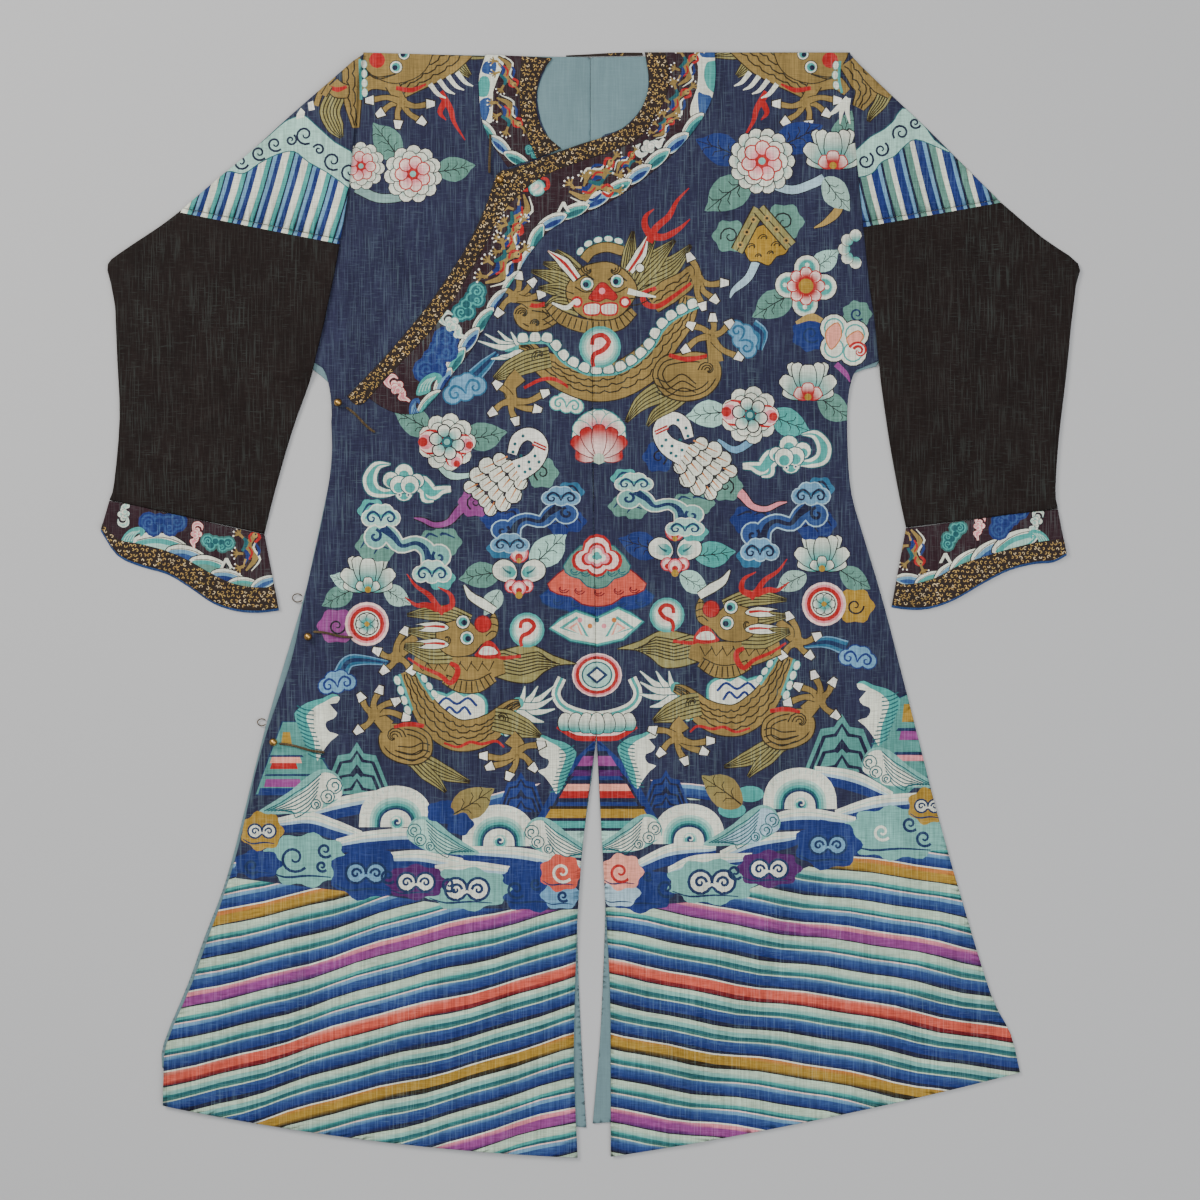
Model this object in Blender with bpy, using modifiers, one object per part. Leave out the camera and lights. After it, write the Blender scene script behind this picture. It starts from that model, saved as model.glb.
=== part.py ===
"""A Chinese dragon robe of silk tapestry, laid flat with its front up.

The floor is z = 0 and the hem points to -Y. Left and right in the names are the wearer's, so the
left half lies at +X. Every length is in millimetres until place() turns it to metres.
"""

import math

import bmesh
import bpy
import numpy as np

MM = 0.001
COLLECTION = "dragon_robe"

# Walls and the air between them
BODY_WALL = 1.5
SLEEVE_WALL = 1.3
TRIM_WALL = 1.0
LAYER_GAP = 0.4
TRIM_GAP = 0.5
SEAM_GAP = 0.4

# Levels of the layers over the floor
FRONT_LEVEL = BODY_WALL + LAYER_GAP
OVER_STEP = BODY_WALL + LAYER_GAP
SLEEVE_LEVEL = FRONT_LEVEL + BODY_WALL + LAYER_GAP

# The overlap comes down from the hidden right front to the back between these two places
STEP_HIGH_X = -45
STEP_LOW_X = 25

# Sleeves are flattened tubes with rounded folds at both long edges
FOLD_RADIUS = 1.3
SLEEVE_PUFF = 1.6
RAMP_LOWER = 22
RAMP_UPPER = 70
RAMP_START = 5
CORNER_REACH = 26
CUFF_LINING_SHOWS = 3

# The centre seams run straight from below the neck to the top of the vent
SEAM_TOP = (1, 546)
VENT_TOP = (9, -160)

BUTTON_DIAMETER = 10
STRAP_DIAMETER = 3.4
LOOP_THREAD = 1.4
ROW_SPACING = 58
COLLAR_SPACING = 26

# Sections this near the seam's line, and this far above its top, are put on it
SEAM_REACH = 5
SEAM_ABOVE = 0.25

# Bent edges of a tube stand on these three angles
FOLD_TURNS = (-45, 0, 45)


def table(columns, *rows):
    names = columns.split()
    return [dict(zip(names, row)) for row in rows]


# Sections of the body panels, from the shoulder down: the end at the centre, then at the side
PANEL = "in_x in_y out_x out_y bow"

FRONT_LEFT = table(
    PANEL,
    (71, 702, 331, 702, 0),
    (75, 662, 347, 641, 0),
    (66, 631, 351, 578, 0),
    (41, 605, 355, 514, 0),
    (11, 591, 360, 451, 0),
    (1, 540, 367, 375, 0),
    (2, 430, 374, 319, 0),
    (3, 400, 350, 303, 0),
    (3, 380, 336, 294, 0),
    (4, 325, 328, 258, 0),
    (4, 240, 328, 195, 0),
    (5, 160, 333, 140, 0),
    (6, 80, 349, 84, 0),
    (7, 0, 374, 0, 0),
    (8, -82, 396, -85, 0),
    (9, -163, 419, -175, 0),
    (13, -248, 441, -262, 0),
    (20, -375, 474, -378, 0),
    (26, -488, 510, -495, 3),
    (27, -600, 535, -545, 5),
    (27, -701, 547, -594, 7),
)

FRONT_OVERLAP = table(
    PANEL,
    (1, 586, -117, 547, 0),
    (1, 546, -132, 504, 0),
    (2, 476, -158, 453, 0),
    (3, 425, -183, 414, 0),
    (4, 383, -203, 382, 0),
    (4, 343, -232, 346, 0),
    (4, 301, -266, 308, 0),
    (4, 262, -312, 263, 0),
    (4, 240, -327, 246, 0),
    (5, 200, -327, 200, 0),
    (5, 160, -330, 162, 0),
    (6, 112, -339, 112, 0),
    (6, 62, -350, 62, 0),
    (7, 0, -364, -1, 0),
    (8, -70, -379, -72, 0),
    (9, -160, -408, -156, 0),
    (2, -216, -425, -216, 0),
    (-8, -299, -444, -300, 0),
    (-14, -375, -463, -365, 0),
    (-17, -440, -483, -419, 2),
    (-19, -515, -505, -481, 4),
    (-20, -580, -537, -557, 7),
    (-18, -640, -541, -600, 9),
    (-15, -702, -542, -636, 11),
)

FRONT_UNDER = table(
    PANEL,
    (-50, 695, -287, 702, 0),
    (-66, 654, -309, 641, 0),
    (-62, 616, -316, 578, 0),
    (-51, 590, -323, 514, 0),
    (-50, 560, -331, 451, 0),
    (-56, 476, -342, 375, 0),
    (-62, 410, -356, 318, 0),
    (-62, 390, -339, 301, 0),
    (-62, 368, -332, 283, 0),
    (-62, 330, -328, 255, 0),
    (-62, 230, -327, 200, 0),
    (-62, 150, -330, 162, 0),
    (-64, 62, -349, 62, 0),
    (-66, -70, -378, -72, 0),
    (-70, -160, -407, -156, 0),
    (-75, -300, -443, -300, 0),
    (-82, -440, -482, -419, 2),
    (-95, -560, -514, -505, 4),
    (-100, -650, -535, -565, 8),
)

BACK_LEFT = table(
    PANEL,
    (1, 696, 331, 701, 0),
    (1, 640, 347, 641, 0),
    (1, 540, 360, 451, 0),
    (2, 430, 374, 319, 0),
    (3, 380, 336, 294, 0),
    (4, 325, 328, 258, 0),
    (4, 240, 328, 195, 0),
    (5, 160, 333, 140, 0),
    (6, 80, 349, 84, 0),
    (7, 0, 374, 0, 0),
    (9, -163, 419, -175, 0),
    (16, -262, 441, -262, 0),
    (20, -375, 474, -378, 0),
    (17, -476, 508, -493, 2),
    (13, -556, 532, -543, 4),
    (4, -659, 545, -590, 7),
)

BACK_RIGHT = table(
    PANEL,
    (1, 696, -287, 701, 0),
    (1, 640, -309, 641, 0),
    (1, 540, -331, 451, 0),
    (2, 430, -356, 318, 0),
    (3, 380, -332, 283, 0),
    (4, 325, -328, 255, 0),
    (4, 200, -327, 200, 0),
    (5, 160, -330, 162, 0),
    (6, 62, -351, 62, 0),
    (7, 0, -366, -1, 0),
    (9, -160, -412, -156, 0),
    (-8, -299, -448, -300, 0),
    (-15, -375, -467, -365, 0),
    (-15, -438, -488, -419, 2),
    (-12, -520, -510, -481, 4),
    (-8, -600, -541, -557, 6),
    (-4, -664, -543, -588, 8),
)

# Sections of the sleeves, from the shoulder down: the edge over the body, then the free edge.
# over says how far the sleeve lies on the body, and lift whether the body still carries it.
SLEEVE = "in_x in_y out_x out_y over lift"

UPPER_RIGHT = table(
    SLEEVE,
    (-286, 700, -300, 691, 1, 1),
    (-293, 667, -336, 660, 7, 1),
    (-295, 629, -380, 622, 15, 1),
    (-300, 584, -426, 580, 15, 1),
    (-305, 533, -472, 542, 16, 1),
    (-316, 464, -516, 504, 14, 1),
)

LOWER_RIGHT = table(
    SLEEVE,
    (-316, 464, -516, 504, 14, 1),
    (-323, 425, -546, 481, 12, 1),
    (-330, 391, -591, 451, 10, 1),
    (-336, 362, -612, 433, 9, 1),
    (-341, 341, -608, 408, 9, 1),
    (-347, 317, -603, 380, 9, 1),
    (-350, 303, -602, 360, 8, 1),
    (-357, 279, -600, 311, 0, 0),
    (-378, 220, -597, 237, 0, 0),
    (-399, 147, -604, 155, 0, 0),
    (-413, 90, -610, 133, 0, 0),
)

UPPER_LEFT = table(
    SLEEVE,
    (331, 699, 343, 686, 1, 1),
    (335, 654, 382, 649, 8, 1),
    (336, 601, 427, 607, 14, 1),
    (341, 549, 470, 564, 13, 1),
    (347, 486, 519, 515, 11, 1),
)

LOWER_LEFT = table(
    SLEEVE,
    (347, 486, 519, 515, 11, 1),
    (352, 438, 575, 467, 9, 1),
    (356, 400, 620.5, 434, 8, 1),
    (361, 368, 618, 406, 7, 1),
    (365, 330, 612, 356, 8, 1),
    (368, 302, 609, 325, 8, 1),
    (371, 276, 605, 286, 0, 0),
    (381, 207, 596, 209, 0, 0),
    (393, 141, 592, 146, 0, 0),
    (402, 98, 595, 122, 0, 0),
)

# Sections of the cuffs, across from the edge beside the body: the seam, then the lower edge.
# trim says how far down the section the brocade begins.
CUFF = "in_x in_y out_x out_y trim"

CUFF_RIGHT = table(
    CUFF,
    (-413, 90, -395, -4, 0.71),
    (-437, 95, -420, -7, 0.71),
    (-469, 102, -449, -5, 0.69),
    (-498, 109, -479, 5, 0.63),
    (-520, 114, -507, 24, 0.62),
    (-545, 119, -537, 42, 0.64),
    (-573, 126, -571, 52, 0.65),
    (-596, 130, -600, 66, 0.72),
    (-610, 133, -620.5, 97, 0.8),
)

CUFF_LEFT = table(
    CUFF,
    (402, 98, 384, 0, 0.72),
    (422, 100, 404, -3, 0.71),
    (451, 104, 432, -2, 0.66),
    (481, 108, 464, 9, 0.57),
    (509, 112, 502, 31, 0.61),
    (537, 116, 534, 47, 0.64),
    (566, 119, 566, 55, 0.62),
    (585, 121, 589, 57, 0.6),
    (595, 122, 606, 66, 0.69),
)

# Stations along the collar: the neck or diagonal edge, the end of the brocade, the outer edge
COLLAR = "edge_x edge_y bound_x bound_y outer_x outer_y bow"

COLLAR_LONG = table(
    COLLAR,
    (70, 702, 96, 702, 159, 702, 0),
    (75, 672, 102, 672, 160, 672, 0),
    (74, 652, 98, 648, 156, 645, 0),
    (65, 629, 83, 620, 142, 616, 0),
    (53, 614, 68, 598, 117, 584, 0),
    (40, 604, 49, 585, 85, 554, 0),
    (17, 594, 22, 574, 45, 524, 0),
    (-6, 587, -6, 565, 10, 504, 0),
    (-29, 579, -34, 555, -25, 490, 0),
    (-52, 571, -57, 545, -43, 481, 0),
    (-76, 562, -78, 531, -57, 470, 0),
    (-98, 554, -93, 517, -69, 455, 0),
    (-117, 547, -105, 505, -79, 442, 0),
    (-132, 505, -120, 481, -92, 420, 0),
    (-157, 453, -138, 446, -116, 383, 0),
    (-182, 414, -163, 403, -135, 349, 0),
    (-203, 383, -182, 373, -153, 319, 0),
    (-232, 347, -208, 340, -173, 295, 0),
    (-266, 308, -239, 308, -191, 269, 4),
    (-308, 265, -280, 263, -212, 245, 10),
)

COLLAR_SHORT = table(
    COLLAR,
    (-47, 695, -86, 697, -132, 699, 0),
    (-62, 673, -88, 672, -140, 672, 0),
    (-68, 643, -89, 648, -140, 648, 0),
    (-65, 618, -86, 618, -137, 618, 0),
    (-55, 597, -77, 591, -126, 589, 0),
    (-36, 580, -67, 567, -104, 556, 0),
)

COLLAR_BACK = table(
    "low_x low_y top_x top_y",
    (-30, 696.8, -30, 698.5),
    (0, 697, 0, 700),
    (35, 697.5, 35, 702),
    (68, 698, 67, 702),
)

# Large soft folds, each from a start to an end, with its half width and its height
FOLDS = table(
    "panel x0 y0 x1 y1 half height",
    ("front_left", 300, 560, 250, 330, 30, 1.6),
    ("front_left", 210, 180, 90, -60, 32, 1.8),
    ("front_left", 330, 60, 300, -140, 30, 2.0),
    ("front_left", 240, -370, 215, -480, 26, 2.6),
    ("front_left", 290, -390, 262, -560, 26, 2.4),
    ("front_left", 345, -330, 380, -560, 36, 2.8),
    ("front_left", 470, -450, 500, -580, 30, 2.6),
    ("front_left", 150, -470, 125, -690, 38, 2.6),
    ("front_left", 70, -380, 62, -640, 26, 1.8),
    ("front_overlap", -200, 200, -240, 20, 34, 1.6),
    ("front_overlap", -110, 130, -120, -60, 30, 1.6),
    ("front_overlap", -330, 40, -370, -150, 28, 1.8),
    ("front_overlap", -300, -330, -330, -600, 38, 2.6),
    ("front_overlap", -215, -400, -235, -560, 34, 2.2),
    ("front_overlap", -420, -330, -470, -560, 34, 2.6),
    ("front_overlap", -110, -430, -105, -660, 36, 2.2),
    ("front_under", -262, 640, -270, 420, 24, 1.8),
    ("front_under", -205, 600, -235, 430, 24, 1.8),
    ("sleeve_lower_right", -450, 440, -560, 300, 26, 1.8),
    ("sleeve_lower_right", -400, 260, -590, 290, 20, 1.8),
    ("sleeve_lower_right", -430, 160, -590, 190, 20, 1.4),
    ("sleeve_lower_left", 430, 420, 560, 360, 26, 1.8),
    ("sleeve_lower_left", 400, 250, 590, 300, 20, 1.8),
    ("sleeve_lower_left", 470, 180, 560, 130, 18, 2.2),
)

# Ball buttons, with the panel that each lies on and the run of its cloth strap
BUTTONS = table(
    "name x y strap_x0 strap_y0 strap_x1 strap_y1",
    ("neck", -114, 540, -126, 598, -127, 548),
    ("collar", -319, 257, -309, 251, -272, 219),
    ("side_upper", -357, -40, -351, -34, -300, -41),
    ("side_lower", -401, -174, -394, -176, -336, -187),
)

# Thread loops at the right side edge: the root, and how far the loop reaches
LOOPS = table(
    "name x y reach",
    ("upper", -364.4, 9, 13),
    ("lower", -410.8, -149, 11),
)

# Colours in linear light, with roughness and metallic
FINISHES = {
    "back": ((0.10, 0.11, 0.17), 0.62, 0.0),
    "front": ((0.045, 0.055, 0.13), 0.6, 0.0),
    "sleeve_upper": ((0.12, 0.25, 0.35), 0.6, 0.0),
    "sleeve_lower": ((0.024, 0.016, 0.013), 0.58, 0.0),
    "cuff": ((0.035, 0.015, 0.02), 0.6, 0.0),
    "cuff_binding": ((0.16, 0.10, 0.05), 0.5, 0.2),
    "collar_band": ((0.045, 0.017, 0.02), 0.6, 0.0),
    "neck_binding": ((0.16, 0.10, 0.05), 0.5, 0.2),
    "button": ((0.55, 0.30, 0.08), 0.32, 1.0),
    "strap": ((0.10, 0.07, 0.035), 0.55, 0.2),
    "loop": ((0.07, 0.06, 0.05), 0.7, 0.0),
}


# Shared curves and heights


def ramp(value):
    """0 below 0, 1 above 1 and a smooth rise between them."""
    value = np.clip(value, 0, 1)
    return value * value * (3 - 2 * value)


def ends_of(row, first="in", last="out"):
    return [
        [row[first + "_x"], row[first + "_y"]],
        [row[last + "_x"], row[last + "_y"]],
    ]


def through(values, parameter, places):
    """Smooth curves through values, which stand at the given parameter, read at places."""
    values = np.asarray(values, float)
    parameter = np.asarray(parameter, float)
    step = np.diff(parameter)
    slope = np.diff(values, axis=0) / step[:, None]
    tangent = np.empty_like(values)
    tangent[0] = slope[0]
    tangent[-1] = slope[-1]
    before = step[1:, None]
    after = step[:-1, None]
    tangent[1:-1] = (before * slope[:-1] + after * slope[1:]) / (before + after)
    index = np.clip(np.searchsorted(parameter, places, side="right") - 1, 0, len(step) - 1)
    h = step[index][:, None]
    t = ((places - parameter[index]) / step[index])[:, None]
    stay = (1 + 2 * t) * (1 - t) ** 2 * values[index]
    go = t * t * (3 - 2 * t) * values[index + 1]
    lean = t * (1 - t) ** 2 * h * tangent[index] - t * t * (1 - t) * h * tangent[index + 1]
    return stay + go + lean


def sections(rows, spacing, first="in", last="out", extra=()):
    """Rows added between those of the table, so that none are further apart than spacing."""
    ends = np.array([ends_of(row, first, last) for row in rows], float)
    more = np.array([[row.get(name, 0) for name in extra] for row in rows], float)
    travel = np.linalg.norm(np.diff(ends, axis=0), axis=2)
    parameter = np.concatenate([[0], np.cumsum(travel.mean(axis=1))])
    places = []
    for i, widest in enumerate(travel.max(axis=1)):
        count = max(1, math.ceil(widest / spacing - 0.2))
        places.extend(np.linspace(parameter[i], parameter[i + 1], count, endpoint=False))
    places = np.array(places + [parameter[-1]])
    smooth = through(ends.reshape(len(rows), 4), parameter, places).reshape(-1, 2, 2)
    if not extra:
        return smooth, None
    straight = np.stack([np.interp(places, parameter, column) for column in more.T], axis=1)
    return smooth, straight


def tighten(ends, start, end):
    """Moves the first and last section inwards, which leaves half of a seam's gap at each."""
    ends = ends.copy()
    for side in (0, 1):
        if start:
            along = ends[1, side] - ends[0, side]
            ends[0, side] += along / np.linalg.norm(along) * start
        if end:
            along = ends[-2, side] - ends[-1, side]
            ends[-1, side] += along / np.linalg.norm(along) * end
    return ends


def flat_patch(ends, columns, bows=None):
    """Points across each section, in plan. A bow pushes the middle of a section down."""
    across = np.linspace(0, 1, columns + 1)[None, :, None]
    points = ends[:, :1] * (1 - across) + ends[:, 1:] * across
    if bows is not None:
        points[:, :, 1] -= bows * 4 * across[:, :, 0] * (1 - across[:, :, 0])
    return points


def fold_height(panel, x, y):
    """The large soft folds of one panel, as ridges that fade out at both ends."""
    total = np.zeros_like(x)
    for fold in FOLDS:
        if fold["panel"] != panel:
            continue
        run = np.array([fold["x1"] - fold["x0"], fold["y1"] - fold["y0"]], float)
        length = np.linalg.norm(run)
        run /= length
        along = (x - fold["x0"]) * run[0] + (y - fold["y0"]) * run[1]
        aside = (y - fold["y0"]) * run[0] - (x - fold["x0"]) * run[1]
        fade = ramp(along / (0.35 * length) + 0.3) * ramp((length - along) / (0.35 * length) + 0.3)
        total += fold["height"] * fade * np.exp(-((aside / fold["half"]) ** 2))
    return total


def front_step(x):
    """How far the hidden right front lifts the cloth that lies over it."""
    return OVER_STEP * ramp((STEP_LOW_X - x) / (STEP_LOW_X - STEP_HIGH_X))


def front_base(panel, x, y):
    """The underside of a front panel over the floor."""
    if panel == "front_under":
        return FRONT_LEVEL + fold_height(panel, x, y)
    return FRONT_LEVEL + front_step(x) + fold_height(panel, x, y)


# Objects


def finish_for(name):
    kind = max((key for key in FINISHES if name.startswith(key)), key=len)
    colour, roughness, metallic = FINISHES[kind]
    material = bpy.data.materials.new(name)
    material.use_nodes = True
    shader = material.node_tree.nodes["Principled BSDF"]
    shader.inputs["Base Color"].default_value = (*colour, 1)
    shader.inputs["Roughness"].default_value = roughness
    shader.inputs["Metallic"].default_value = metallic
    material.diffuse_color = (*colour, 1)
    return material


def place(name, mesh):
    """Turns a mesh in millimetres to metres and puts its object in the robe's collection."""
    for vertex in mesh.vertices:
        vertex.co *= MM
    robe_object = bpy.data.objects.new(name, mesh)
    mesh.materials.append(finish_for(name))
    bpy.data.collections[COLLECTION].objects.link(robe_object)
    return robe_object


def grid_mesh(name, points):
    """An open sheet through a grid of points. A grid whose last column is its first is a tube."""
    rows, columns = points.shape[0] - 1, points.shape[1] - 1
    sheet = bmesh.new()
    bmesh.ops.create_grid(sheet, x_segments=columns, y_segments=rows, size=1)
    for vertex in sheet.verts:
        column = round((vertex.co.x + 1) / 2 * columns)
        row = round((vertex.co.y + 1) / 2 * rows)
        vertex.co = points[row, column]
    if np.allclose(points[:, 0], points[:, -1]):
        bmesh.ops.remove_doubles(sheet, verts=sheet.verts, dist=0.001)
        bmesh.ops.recalc_face_normals(sheet, faces=sheet.faces)
    sheet.normal_update()
    if sum(face.normal.z * face.calc_area() for face in sheet.faces) < -1:
        bmesh.ops.reverse_faces(sheet, faces=sheet.faces)
    mesh = bpy.data.meshes.new(name)
    sheet.to_mesh(mesh)
    sheet.free()
    mesh.shade_smooth()
    return mesh


def cloth(name, points, wall, offset):
    """A wall of cloth on a sheet: offset 1 builds it upwards, 0 to both sides."""
    robe_object = place(name, grid_mesh(name, points))
    solidify = robe_object.modifiers.new("wall", "SOLIDIFY")
    solidify.thickness = wall * MM
    solidify.offset = offset
    solidify.use_even_offset = offset == 0
    return robe_object


def seamed(ends):
    """Puts the centre ends of a half on its seam, half a gap from the other half."""
    ends = ends.copy()
    toward = np.sign(ends[:, 1, 0] - ends[:, 0, 0])
    along = (SEAM_TOP[1] - ends[:, 0, 1]) / (SEAM_TOP[1] - VENT_TOP[1])
    seam = SEAM_TOP[0] + along * (VENT_TOP[0] - SEAM_TOP[0])
    near = np.abs(ends[:, 0, 0] - seam) < SEAM_REACH
    joined = (along > -SEAM_ABOVE) & (along <= 1.01) & near
    ends[:, 0, 0] = np.where(joined, seam, ends[:, 0, 0]) + toward * SEAM_GAP / 2
    return ends


def with_height(plan, height):
    return np.dstack([plan, height])


# Body panels


def make_front(name, rows, columns, seam=True):
    ends, bows = sections(rows, ROW_SPACING, extra=("bow",))
    if seam:
        ends = seamed(ends)
    plan = flat_patch(ends, columns, bows)
    height = front_base(name, plan[:, :, 0], plan[:, :, 1])
    cloth(name, with_height(plan, height), BODY_WALL, 1)


def make_back(name, rows, columns):
    ends, bows = sections(rows, 2 * ROW_SPACING, extra=("bow",))
    ends = seamed(ends)
    plan = flat_patch(ends, columns, bows)
    cloth(name, with_height(plan, np.zeros(plan.shape[:2])), BODY_WALL, 1)


# Sleeves and cuffs


def tube_section(start, run, width, lower_at, upper_at, lower_z, upper_z):
    """One ring of a flattened tube: the lower wall, the outer fold, the upper wall, the inner fold."""
    inset = FOLD_RADIUS + SLEEVE_WALL / 2
    ring = [(*(start + run * at), lower_z(at)) for at in lower_at]
    for side, turns in ((1, FOLD_TURNS), (-1, FOLD_TURNS[::-1])):
        edge = width - inset if side > 0 else inset
        low, high = lower_z(edge), upper_z(edge)
        if side < 0:
            ring.extend((*(start + run * at), upper_z(at)) for at in upper_at[::-1])
        for turn in turns:
            out = FOLD_RADIUS * math.cos(math.radians(turn))
            rise = (high - low) / 2 * math.sin(math.radians(turn))
            ring.append((*(start + run * (edge + side * out)), (low + high) / 2 + rise))
    ring.append(ring[0])
    return ring


def make_sleeve(name, rows, edge_rows, lower_columns=3, upper_columns=9):
    """A flattened tube that lies on the body's edge, given by edge_rows, and beside it."""
    ends, extra = sections(rows, ROW_SPACING, extra=("over", "lift"))
    ends = tighten(ends, SEAM_GAP / 2, SEAM_GAP / 2)
    inset = FOLD_RADIUS + SLEEVE_WALL / 2
    edge_y = np.array([row["out_y"] for row in edge_rows])[::-1]
    edge_x = np.abs([row["out_x"] for row in edge_rows])[::-1]
    rings = []
    for (start, stop), (over, lift) in zip(ends, extra):
        width = np.linalg.norm(stop - start)
        run = (stop - start) / width

        def beyond(at):
            point = start + run * at
            near = np.interp(point[1] + CORNER_REACH, edge_y, edge_x)
            return abs(point[0]) - max(np.interp(point[1], edge_y, edge_x), near)

        def lower_z(at):
            rise = 1 - (beyond(at) - RAMP_START) / RAMP_LOWER
            return SLEEVE_WALL / 2 + SLEEVE_LEVEL * lift * float(np.clip(rise, 0, 1))

        def upper_z(at):
            point = start + run * at
            rise = float(ramp(1 - (beyond(at) - RAMP_START) / RAMP_UPPER))
            puff = SLEEVE_PUFF * math.sin(math.pi * at / width) * min(1, width / 150)
            fold = float(fold_height(name, np.array([point[0]]), np.array([point[1]]))[0])
            edge_fade = float(ramp(4 * at / width) * ramp(4 * (width - at) / width))
            flat = SLEEVE_WALL / 2 + 2 * FOLD_RADIUS
            return flat + SLEEVE_LEVEL * lift * rise + puff + fold * edge_fade

        first = min(over + RAMP_START, 0.3 * width)
        foot = min(over + RAMP_START + RAMP_LOWER, 0.6 * width)
        lower_at = [inset, first + inset, *np.linspace(foot + inset, width - inset, lower_columns)]
        upper_at = np.linspace(inset, width - inset, upper_columns)
        rings.append(tube_section(start, run, width, lower_at, upper_at, lower_z, upper_z))
    cloth(name, np.array(rings), SLEEVE_WALL, 0)


def make_cuff(name, rows, binding_name, across=10, along=3):
    """The cuff's tube runs on from the forearm. Its lower wall is longer, so its lining shows."""
    places = np.linspace(0, len(rows) - 1, across + 1)
    ends = np.array([ends_of(row) for row in rows], float).reshape(len(rows), 4)
    ends = through(ends, np.arange(len(rows)), places).reshape(-1, 2, 2)
    trims = np.interp(places, np.arange(len(rows)), [row["trim"] for row in rows])
    seam_run = ends[-1, 0] - ends[0, 0]
    share = (ends[:, 0] - ends[0, 0]) @ seam_run / (seam_run @ seam_run)
    ends[:, 0] = ends[0, 0] + share[:, None] * seam_run
    inset = FOLD_RADIUS + SLEEVE_WALL / 2
    low, high = SLEEVE_WALL / 2, SLEEVE_WALL / 2 + 2 * FOLD_RADIUS
    rings = []
    for share in np.linspace(0, 1, along + 1):
        upper, lower = [], []
        for seam_end, hem_end in ends:
            run = (hem_end - seam_end) / np.linalg.norm(hem_end - seam_end)
            seam_point = seam_end + run * SEAM_GAP / 2
            upper.append(seam_point * (1 - share) + hem_end * share)
            lower.append(seam_point * (1 - share) + (hem_end + run * CUFF_LINING_SHOWS) * share)
        ring = []
        for wall, height, order in ((lower, low, 1), (upper, high, -1)):
            line = np.array(wall[::order])
            inward = (line[1] - line[0]) / np.linalg.norm(line[1] - line[0])
            back = (line[-2] - line[-1]) / np.linalg.norm(line[-2] - line[-1])
            line[0] += inward * inset
            line[-1] += back * inset
            ring.extend((*point, height) for point in line)
            nearest = np.array((upper if order == 1 else lower)[::-order][0])
            tip = (np.array(wall[::order][-1]) + nearest) / 2
            for turn in FOLD_TURNS:
                reach = inset - FOLD_RADIUS * math.cos(math.radians(turn))
                rise = order * FOLD_RADIUS * math.sin(math.radians(turn))
                ring.append((*(tip + back * reach), (low + high) / 2 + rise))
        ring.append(ring[0])
        rings.append(ring)
    cloth(name, np.array(rings), SLEEVE_WALL, 0)

    top = high + SLEEVE_WALL / 2 + TRIM_GAP
    upper_edge = ends[:, 0] + (ends[:, 1] - ends[:, 0]) * trims[:, None]
    band = np.stack([upper_edge, ends[:, 1]], axis=1)
    band = flat_patch(tighten(band, 1, 1), 2)
    cloth(binding_name, with_height(band, np.full(band.shape[:2], top)), TRIM_WALL, 1)


# Collar


def make_collar_strip(name, rows, first, last, lifted, columns):
    """A band sewn on a front panel, from the panel's own height moved out."""
    ends, bows = sections(rows, COLLAR_SPACING, first, last, extra=("bow",))
    run = ends[:, 1] - ends[:, 0]
    run /= np.linalg.norm(run, axis=1)[:, None]
    if first == "bound":
        ends[:, 0] += run * SEAM_GAP
    else:
        bows = bows * 0
    plan = flat_patch(ends, columns, bows)
    height = FRONT_LEVEL + BODY_WALL + TRIM_GAP + lifted * front_step(plan[:, :, 0])
    cloth(name, with_height(plan, height), TRIM_WALL, 1)


def make_collar():
    make_collar_strip("collar_band_long", COLLAR_LONG, "bound", "outer", True, 3)
    make_collar_strip("neck_binding_long", COLLAR_LONG, "edge", "bound", True, 2)
    make_collar_strip("collar_band_short", COLLAR_SHORT, "bound", "outer", False, 2)
    make_collar_strip("neck_binding_short", COLLAR_SHORT, "edge", "bound", False, 2)
    ends, _ = sections(COLLAR_BACK, 40, "low", "top")
    plan = flat_patch(ends, 1)
    cloth("neck_binding_back", with_height(plan, np.zeros(plan.shape[:2])), TRIM_WALL, 1)


# Buttons, straps and loops


def tube_object(name, points, diameter):
    """A cord through points, with closed ends."""
    curve = bpy.data.curves.new(name, "CURVE")
    curve.dimensions = "3D"
    curve.bevel_depth = diameter / 2 * MM
    curve.bevel_resolution = 2
    curve.use_fill_caps = True
    spline = curve.splines.new("POLY")
    spline.points.add(len(points) - 1)
    for point, place_mm in zip(spline.points, points):
        point.co = (*(np.array(place_mm) * MM), 1)
    curve.materials.append(finish_for(name))
    robe_object = bpy.data.objects.new(name, curve)
    bpy.data.collections[COLLECTION].objects.link(robe_object)
    return robe_object


def top_of_cloth(panel, x, y):
    return float(front_base(panel, np.array([x], float), np.array([y], float))[0]) + BODY_WALL


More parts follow.
